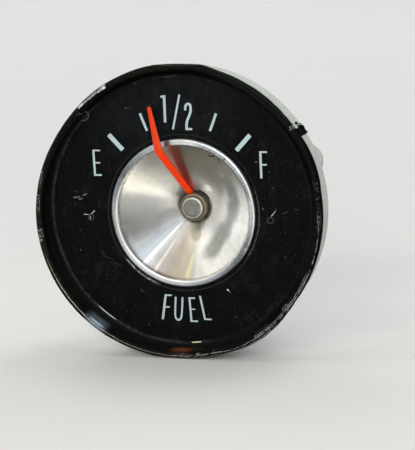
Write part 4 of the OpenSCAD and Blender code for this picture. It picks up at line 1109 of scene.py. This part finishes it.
def hexed(s, turn, chamfer=3.42):
    """A hexagon nut: flats, and corners cut back by a cone at both ends."""
    c = (s * STUD_X, STUD_Y)
    ap = 4.04 * math.cos(math.pi / 6)
    zt, zb, bore = -30.9, -33.5, 2.0
    prof = [(bore + 0.02, zt - 0.3), (bore + 0.3, zt), (chamfer, zt), (3.6, zt), (3.85, zt), (9.0, zt), (9.0, zb), (3.85, zb), (3.6, zb), (chamfer, zb), (bore + 0.3, zb), (bore + 0.02, zb + 0.3), (bore + 0.01, -32.2)]

    def f(i, t, r, z):
        q = (t - math.radians(turn)) % (math.pi / 3) - math.pi / 6
        full = ap / math.cos(q)
        if r <= chamfer:
            return r, z
        frac = {3.6: 0.35, 3.85: 0.7, 9.0: 1.0}[r]
        rr = chamfer + (full - chamfer) * frac
        drop = (rr - chamfer) * math.tan(math.radians(28))
        return rr, (z - drop if z > -32 else z + drop)
    return lathe("nut_part", prof, segs=96, c=c, f=f, sharp=22)


nuts = give(join([hexed(1, 12), hexed(-1, -12)], "hex_nuts"), M["brass"])
nuts.data.set_sharp_from_angle(angle=math.radians(20))
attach(nuts, "gauge_body")
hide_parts("terminal_nuts")


def ringed(zt, zb, ro, ri, e, seed, wav=0.0):
    """A flat ring with rounded edges."""
    def f(i, t, r, z):
        return r + (wav * n1(t * 1.7, seed) if r > ro - 0.4 else 0.0), z
    out = []
    for s in (-1, 1):
        pr = [(ri, zt), (ro - e, zt), (ro - e * 0.3, zt - e * 0.3), (ro, zt - e), (ro, zb + e), (ro - e * 0.3, zb + e * 0.3), (ro - e, zb), (ri, zb)]
        out.append(lathe("ring_part", pr, segs=96, c=(s * STUD_X, STUD_Y), f=f, sharp=60))
    return out


washers = give(join(ringed(-30.2, -30.9, 3.9, 2.05, 0.12, 21), "plain_washers"), M["brass"])
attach(washers, "gauge_body")
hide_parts("terminal_washers")
discs = give(join(ringed(-29.0, -30.2, 4.28, 2.05, 0.16, 22, 0.02), "fibre_discs"), M["vulcanised_fibre"])
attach(discs, "gauge_body")
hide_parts("outer_insulators")


# ------------------------------------------------------------------ printed marks
def roughen(outline, step=0.28, amp=0.022, seed=1.0):
    """Points along the edges of an outline, moved a hair, as ink dries."""
    out = []
    n = len(outline)
    for i in range(n):
        a, b = outline[i], outline[(i + 1) % n]
        l = math.hypot(b[0] - a[0], b[1] - a[1])
        k = max(1, int(l / step))
        nxv, nyv = -(b[1] - a[1]) / (l or 1), (b[0] - a[0]) / (l or 1)
        for j in range(k):
            f = j / k
            q = amp * n1((f * l + i * 5.3) * 1.9, seed) if j else 0.0
            out.append((a[0] + (b[0] - a[0]) * f + nxv * q, a[1] + (b[1] - a[1]) * f + nyv * q))
    return out


def area(o):
    return 0.5 * sum(a[0] * b[1] - b[0] * a[1] for a, b in zip(o, o[1:] + o[:1]))


def inset(o, d):
    """The outline moved in by d."""
    if area(o) < 0:
        o = o[::-1]
    n = len(o)
    out = []
    for i in range(n):
        p0, p1, p2 = o[i - 1], o[i], o[(i + 1) % n]
        e1 = (p1[0] - p0[0], p1[1] - p0[1])
        e2 = (p2[0] - p1[0], p2[1] - p1[1])
        l1, l2 = math.hypot(*e1) or 1, math.hypot(*e2) or 1
        n1v = (-e1[1] / l1, e1[0] / l1)
        n2v = (-e2[1] / l2, e2[0] / l2)
        bx, by = n1v[0] + n2v[0], n1v[1] + n2v[1]
        bl = bx * bx + by * by
        k = 2 * d / bl if bl > 0.3 else d
        out.append((p1[0] + bx * k, p1[1] + by * k))
    return o, out


def plate(outlines, name, z0=-0.04, z1=0.022):
    """Thin raised shapes of ink on the dial, one closed solid for each outline."""
    verts, faces = [], []
    for i, o in enumerate(outlines):
        o = roughen(o, seed=3.0 + i)
        o, top = inset(o, 0.035)
        b = len(verts)
        n = len(o)
        verts += [W(x, y, z0) for x, y in o] + [W(x, y, z1 * 0.45) for x, y in o] + [W(x, y, z1) for x, y in top]
        for ring_i in (0, 1):
            for k in range(n):
                k2 = (k + 1) % n
                faces.append((b + ring_i * n + k, b + ring_i * n + k2, b + (ring_i + 1) * n + k2, b + (ring_i + 1) * n + k))
        faces.append(tuple(b + 2 * n + k for k in range(n)))
        faces.append(tuple(b + k for k in range(n - 1, -1, -1)))
    ob = give(link(name, verts, faces, smooth=False), INK)
    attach(ob, "gauge_body")
    return ob


def bar(a, b, w, w2=None):
    """A straight stroke with slightly rounded corners."""
    w2 = w if w2 is None else w2
    dx, dy = b[0] - a[0], b[1] - a[1]
    l = math.hypot(dx, dy)
    ux, uy = dx / l, dy / l
    vx, vy = -uy, ux
    h1, h2, c = w / 2, w2 / 2, min(w, w2) * 0.13
    def P(u, v):
        return (a[0] + ux * u + vx * v, a[1] + uy * u + vy * v)
    return [P(c, h1), P(0, h1 - c), P(0, -h1 + c), P(c, -h1), P(l - c, -h2), P(l, -h2 + c), P(l, h2 - c), P(l - c, h2)]


def ribbon(points, w, ends=(None, None), sub=6):
    """A curved stroke of one width along a smooth line."""
    pts = []
    n = len(points)
    for i in range(n - 1):
        p0, p1, p2, p3 = points[max(i - 1, 0)], points[i], points[i + 1], points[min(i + 2, n - 1)]
        for j in range(sub):
            t = j / sub
            pts.append(tuple(0.5 * (2 * p1[k] + (p2[k] - p0[k]) * t + (2 * p0[k] - 5 * p1[k] + 4 * p2[k] - p3[k]) * t * t + (3 * p1[k] - p0[k] - 3 * p2[k] + p3[k]) * t ** 3) for k in (0, 1)))
    pts.append(points[-1])
    left, right = [], []
    for i, p in enumerate(pts):
        a, b = pts[max(i - 1, 0)], pts[min(i + 1, len(pts) - 1)]
        l = math.hypot(b[0] - a[0], b[1] - a[1]) or 1
        nx, ny = -(b[1] - a[1]) / l, (b[0] - a[0]) / l
        h = (w[0] + (w[1] - w[0]) * i / (len(pts) - 1)) / 2 if isinstance(w, tuple) else w / 2
        left.append((p[0] + nx * h, p[1] + ny * h))
        right.append((p[0] - nx * h, p[1] - ny * h))
    return left + right[::-1]


def clockp(a, r):
    t = math.radians(a)
    return (PRINT[0] + r * math.sin(t), PRINT[1] + r * math.cos(t))


ticks = [bar(clockp(-42.8, 19.57), clockp(-42.8, 24.33), 1.04), bar(clockp(42.8, 19.57), clockp(42.8, 24.33), 0.98),
         bar(clockp(-21.46, 20.09), clockp(-21.46, 24.33), 0.57), bar(clockp(21.46, 20.09), clockp(21.46, 24.33), 0.57)]
plate(ticks, "scale_ticks")


def sheared(stem_top, stem_bottom, arms, ws, wa):
    """A letter of one upright stroke and arms: each arm is (share down the stem, length, width, drop)."""
    (x1, y1), (x0, y0) = stem_top, stem_bottom
    ux, uy = x1 - x0, y1 - y0

    def at(f, x):           # f from 0 at the foot to 1 at the top, x to the right of the stem's middle
        return (x0 + ux * f + x, y0 + uy * f)
    hgt = math.hypot(ux, uy)
    h = ws / 2
    out = [at(1, -h)]
    # down the left side, then up the right side with the arms
    left = [at(1, -h), at(0, -h)]
    right = []
    for f, ln, w, top in arms:   # from the foot to the top
        fw = w / hgt
        lo, hi = (f, f + fw) if top == 0 else (f - fw, f) if top == 1 else (f - fw / 2, f + fw / 2)
        right += [(lo, ln), (hi, ln)] if lo <= 0.0 + 1e-6 else [(lo, h), (lo, ln), (hi, ln)]
        right += [(hi, h)] if hi < 1 - 1e-6 else []
    if arms[0][0] > 1e-6:
        right = [(0.0, h)] + right
    if arms[-1][0] < 1 - 1e-6:
        right.append((1.0, h))
    return left + [at(f, x) for f, x in right]


E = sheared((-19.99, 13.80), (-19.82, 7.82), [(0.0, 1.62, 0.38, 0), (0.50, 1.42, 0.32, 2), (1.0, 1.62, 0.34, 1)], 0.50, 0.5)
F = sheared((19.16, 13.70), (19.25, 7.64), [(0.50, 1.36, 0.34, 2), (1.0, 1.52, 0.38, 1)], 0.52, 0.5)
plate([E], "mark_empty")
plate([F], "mark_full")
one = [(-2.34, 20.05), (-2.92, 20.07), (-2.94, 25.55), (-3.52, 25.62), (-3.52, 26.02), (-2.36, 26.2)]
slash = bar((-0.86, 18.5), (0.93, 26.3), 0.44, 0.44)
two = ribbon([(2.20, 22.75), (2.20, 23.5), (2.50, 24.05), (2.88, 24.2), (3.26, 24.02), (3.42, 23.45), (3.38, 22.5), (3.05, 21.55), (2.58, 20.6), (2.40, 19.85), (2.36, 19.2), (2.36, 18.34)], (0.52, 0.60), sub=4)
plate([one, slash], "mark_half")
plate([two], "mark_half_two")
plate([bar((2.68, 18.57), (3.66, 18.56), 0.46)], "mark_half_foot", z1=0.021)
FU = sheared((-3.97, -19.32), (-4.88, -25.18), [(0.50, 1.30, 0.34, 2), (1.0, 1.42, 0.38, 1)], 0.54, 0.5)
E2 = sheared((1.64, -19.84), (1.96, -25.56), [(0.0, 1.56, 0.36, 0), (0.52, 1.16, 0.30, 2), (1.0, 1.32, 0.34, 1)], 0.47, 0.5)
L2 = sheared((4.16, -19.44), (5.22, -25.00), [(0.0, 1.56, 0.36, 0)], 0.46, 0.5)
U = ribbon([(-1.60, -19.83), (-1.73, -21.5), (-1.86, -23.3), (-1.84, -24.35), (-1.58, -24.98), (-1.12, -25.2), (-0.66, -24.95), (-0.38, -24.3), (-0.24, -23.2), (-0.10, -21.5), (0.0, -19.88)], 0.42, sub=4)
plate([FU, E2, L2], "legend_letters")
plate([U], "legend_letter_u")

# scratches, scuffs and flecks on the flat, by how bright they are
SCARS = [
    # the forked scratch over the left rivet
    ((-22.94, -1.07), (-21.48, -1.16), 0.17, 0.75), ((-21.48, -1.16), (-20.4, -0.38), 0.21, 1.0), ((-20.5, -0.42), (-20.28, -0.26), 0.36, 1.0), ((-21.48, -1.16), (-21.32, -2.2), 0.16, 0.75),
    # the scuff above it
    ((-25.3, 2.75), (-23.7, 2.98), 0.34, 0.42), ((-24.0, 2.40), (-23.1, 2.52), 0.32, 0.42), ((-23.1, 3.22), (-21.98, 3.70), 0.28, 0.36), ((-24.9, 4.2), (-24.1, 4.1), 0.5, 0.10), ((-25.0, 1.6), (-24.9, 0.7), 0.3, 0.10),
    # over the right rivet
    ((21.23, -0.89), (22.17, 0.25), 0.18, 0.85), ((22.17, 0.25), (22.53, 0.81), 0.15, 0.5), ((19.44, 1.0), (19.42, 0.45), 0.18, 0.35), ((18.66, -2.3), (18.70, -3.5), 0.12, 0.28),
    ((23.9, -0.3), (25.0, 0.3), 0.5, 0.10), ((21.6, 5.3), (22.2, 5.8), 0.45, 0.12), ((20.6, -6.0), (20.8, -6.3), 0.4, 0.12),
    # smudges above the E and under the rim at the top
    ((-12.0, 23.18), (-11.4, 23.45), 0.32, 0.20), ((-11.2, 23.45), (-9.9, 23.2), 0.16, 0.12), ((-2.6, 30.2), (0.4, 30.6), 0.14, 0.16), ((-9.6, 28.9), (-9.0, 28.7), 0.35, 0.16),
    # the bright fleck right of the legend
    ((10.62, -17.72), (11.0, -18.08), 0.36, 1.0), ((11.0, -18.1), (11.5, -18.6), 0.15, 0.35),
    # flecks
    ((17.9, 11.35), (18.5, 11.25), 0.20, 0.40), ((21.0, 9.2), (21.2, 9.0), 0.3, 0.2), ((-18.9, -9.6), (-18.3, -10.8), 0.28, 0.12), ((-18.3, -10.8), (-16.6, -11.4), 0.28, 0.14),
    ((-24.2, -9.3), (-24.0, -9.6), 0.35, 0.22), ((-10.0, -18.3), (-9.2, -18.9), 0.5, 0.12), ((-24.1, -4.6), (-23.9, -5.0), 0.4, 0.10), ((-8.3, -26.4), (-8.1, -26.7), 0.3, 0.2),
    ((27.0, 3.9), (27.3, 3.7), 0.35, 0.14), ((26.7, 0.8), (27.4, 0.6), 0.4, 0.14), ((24.1, -9.9), (24.5, -10.3), 0.45, 0.12), ((28.3, -12.3), (28.45, -12.5), 0.3, 0.55),
    ((-15.8, -12.3), (-14.2, -13.0), 0.25, 0.06), ((12.2, -23.7), (12.8, -24.2), 0.4, 0.12), ((24.2, -4.3), (24.4, -4.6), 0.4, 0.10),
]
for nm, lo_, hi_, v_ in (("scratches_bright", 0.7, 9, 0.55), ("scratches_grey", 0.3, 0.7, 0.15), ("scratches_dull", 0.15, 0.3, 0.055), ("scratches_faint", 0, 0.15, 0.018)):
    plate([ribbon([a_, ((a_[0] + b_[0]) / 2 + (b_[1] - a_[1]) * 0.03, (a_[1] + b_[1]) / 2 - (b_[0] - a_[0]) * 0.03), b_], (w_, w_ * 0.6), sub=3) for a_, b_, w_, s_ in SCARS if lo_ <= s_ < hi_], nm, z1=0.014).data.materials[0] = scar(nm, v_)

# ------------------------------------------------------------------ camera
YAW, PITCH, ROLL, TX, TY, DIST, SCL = -0.288112731277223, 0.17402106248333557, 0.032189190082912385, -6.319136592968164, 3.155232752418156, 379.7343125059404, 4.439404727269021


def rot(axis, a):
    return Matrix.Rotation(a, 3, axis)


Mc = rot("Z", ROLL) @ rot("X", PITCH) @ rot("Y", YAW)
Mi = Mc.transposed()


def local_dir(v):
    return Vector((v[0], -v[2], v[1]))


eye = Mi @ Vector((-TX, -TY, DIST))
right, up, bck = (Mi @ Vector(v) for v in ((1, 0, 0), (0, 1, 0), (0, 0, 1)))
cam_data = bpy.data.cameras.new("camera")
cam = bpy.data.objects.new("camera", cam_data)
SC.collection.objects.link(cam)
R3 = Matrix((local_dir(right), local_dir(up), local_dir(bck))).transposed()
cam.matrix_world = Matrix.Translation(W(*eye)) @ R3.to_4x4()
cam_data.sensor_width = 36.0
cam_data.sensor_fit = "AUTO"
cam_data.lens = SCL * DIST / 450.0 * 36.0
cam_data.clip_start, cam_data.clip_end = 0.01, 50.0
SC.camera = cam

# ------------------------------------------------------------------ stage
zf = CAD_LO.z
fv, ff = [], []
segs_f, rings_f = 96, []
for r_, h_ in [(0.0, 0.0), (0.05, 0), (0.1, 0), (0.2, 0), (0.5, 0), (1.0, 0), (1.5, 0), (1.8, 0.01), (2.1, 0.06), (2.35, 0.18), (2.52, 0.36), (2.6, 0.6), (2.62, 1.0), (2.62, 1.5)]:
    if r_ == 0:
        rings_f.append([len(fv)])
        fv.append((0, 0, zf))
        continue
    row = []
    for k in range(segs_f):
        t = 2 * math.pi * k / segs_f
        row.append(len(fv))
        fv.append((r_ * math.cos(t), r_ * math.sin(t), zf + h_))
    rings_f.append(row)
for a, b in zip(rings_f, rings_f[1:]):
    for k in range(segs_f):
        k2 = (k + 1) % segs_f
        ff.append((a[0], b[k], b[k2]) if len(a) == 1 else (a[k], b[k], b[k2], a[k2]))
floor = link("stage_floor", fv, ff, sharp=80, recalc=False)
g = G("stage_pale")
c = g.mix(g.noise(0.02, 3, 0.5), (0.74, 0.735, 0.73), (0.77, 0.77, 0.775))
give(floor, g.done(Base_Color=c, Roughness=0.9, Specular_IOR_Level=0.1))
floor.visible_glossy = False

world = bpy.data.worlds.new("studio")
SC.world = world
world.use_nodes = True
wt = world.node_tree
wt.nodes.clear()
wo = wt.nodes.new("ShaderNodeOutputWorld")
wb = wt.nodes.new("ShaderNodeBackground")
wb.inputs[0].default_value = (0.95, 0.97, 1.0, 1)
wb.inputs[1].default_value = 0.02
wt.links.new(wb.outputs[0], wo.inputs[0])

AIM = W(0, 0, -3)


def overhead(name, at, size, power, color=(1, 1, 1)):
    """A soft round light over the floor, looking straight down."""
    L = bpy.data.lights.new(name, "AREA")
    L.shape = "DISK"
    L.size = size
    L.energy = power
    L.color = color
    o = bpy.data.objects.new(name, L)
    SC.collection.objects.link(o)
    o.location = at
    o.visible_camera = False
    return o


def soft(name, direction, dist, size, power, color=(1, 1, 1)):
    """A soft round light in a direction of the dial's drawing frame."""
    L = bpy.data.lights.new(name, "AREA")
    L.shape = "DISK"
    L.size = size
    L.energy = power
    L.color = color
    o = bpy.data.objects.new(name, L)
    SC.collection.objects.link(o)
    d = Vector(direction).normalized()
    wd = Vector((d.x, -d.z, d.y))
    o.location = AIM + wd * dist
    o.rotation_mode = "QUATERNION"
    o.rotation_quaternion = wd.to_track_quat("Z", "Y")
    o.visible_camera = False
    return o


LIGHTS = [
    ("key_flash", (0.20, 0.33, 0.92), 0.9, 0.12, 0.95, (1.0, 0.99, 0.97)),
    ("key_high", (0.02, 0.48, 0.88), 0.9, 0.12, 1.0, (1.0, 0.98, 0.90)),
    ("key_gold", (-0.22, 0.52, 0.83), 0.9, 0.07, 0.85, (1.0, 0.86, 0.50)),
    ("front_box", (0.21, 0.0, 0.98), 1.5, 0.95, 7.6, (1.0, 0.96, 0.89)),
    ("right_box", (0.56, -0.36, 0.75), 1.5, 0.95, 4.4, (1.0, 0.99, 0.92)),
    ("left_box", (-0.27, 0.25, 0.93), 1.5, 0.95, 5.2, (0.95, 0.98, 1.0)),
    ("low_box", (0.7, -0.7, 0.16), 1.5, 0.95, 4.8, (1.0, 0.97, 0.86)),
    ("upper_box", (0.33, 0.43, 0.84), 1.5, 0.95, 2.2, (0.8, 0.9, 1.0)),
    ("far_left_box", (-0.93, 0.0, 0.36), 1.4, 0.7, 2.0, (1.0, 1.0, 0.98)),
    ("far_high_box", (-0.82, 0.46, 0.34), 1.4, 0.7, 1.55, (1.0, 1.0, 0.98)),
]
for row in LIGHTS:
    soft(*row)
for row in [
    ("over_left", (-1.0, 1.0, 1.4), 1.2, 8.75, (1.0, 0.99, 0.99)),
    ("over_far", (0.0, 1.9, 1.4), 1.6, 5.2, (0.98, 0.99, 1.0)),
    ("over_top", (0.0, 0.2, 1.6), 1.2, 2.9, (1.0, 0.99, 0.98)),
    ("over_front_left", (-1.0, -0.3, 1.2), 1.0, 3.5, (1.0, 0.97, 0.95)),
    ("over_front_right", (1.0, -0.3, 1.2), 1.0, 3.5, (1.0, 0.99, 0.97)),
    ("over_far_left", (-1.2, 1.8, 1.3), 1.4, 4.7, (0.99, 0.99, 1.0)),
    ("over_far_right", (1.2, 1.8, 1.3), 1.4, 12.4, (0.96, 0.98, 1.0)),
    ("over_near", (0.4, 0.5, 1.3), 0.8, 4.0, (1.0, 1.0, 1.0)),
]:
    overhead(*row)

SC.view_settings.view_transform = "Standard"
SC.view_settings.look = "None"
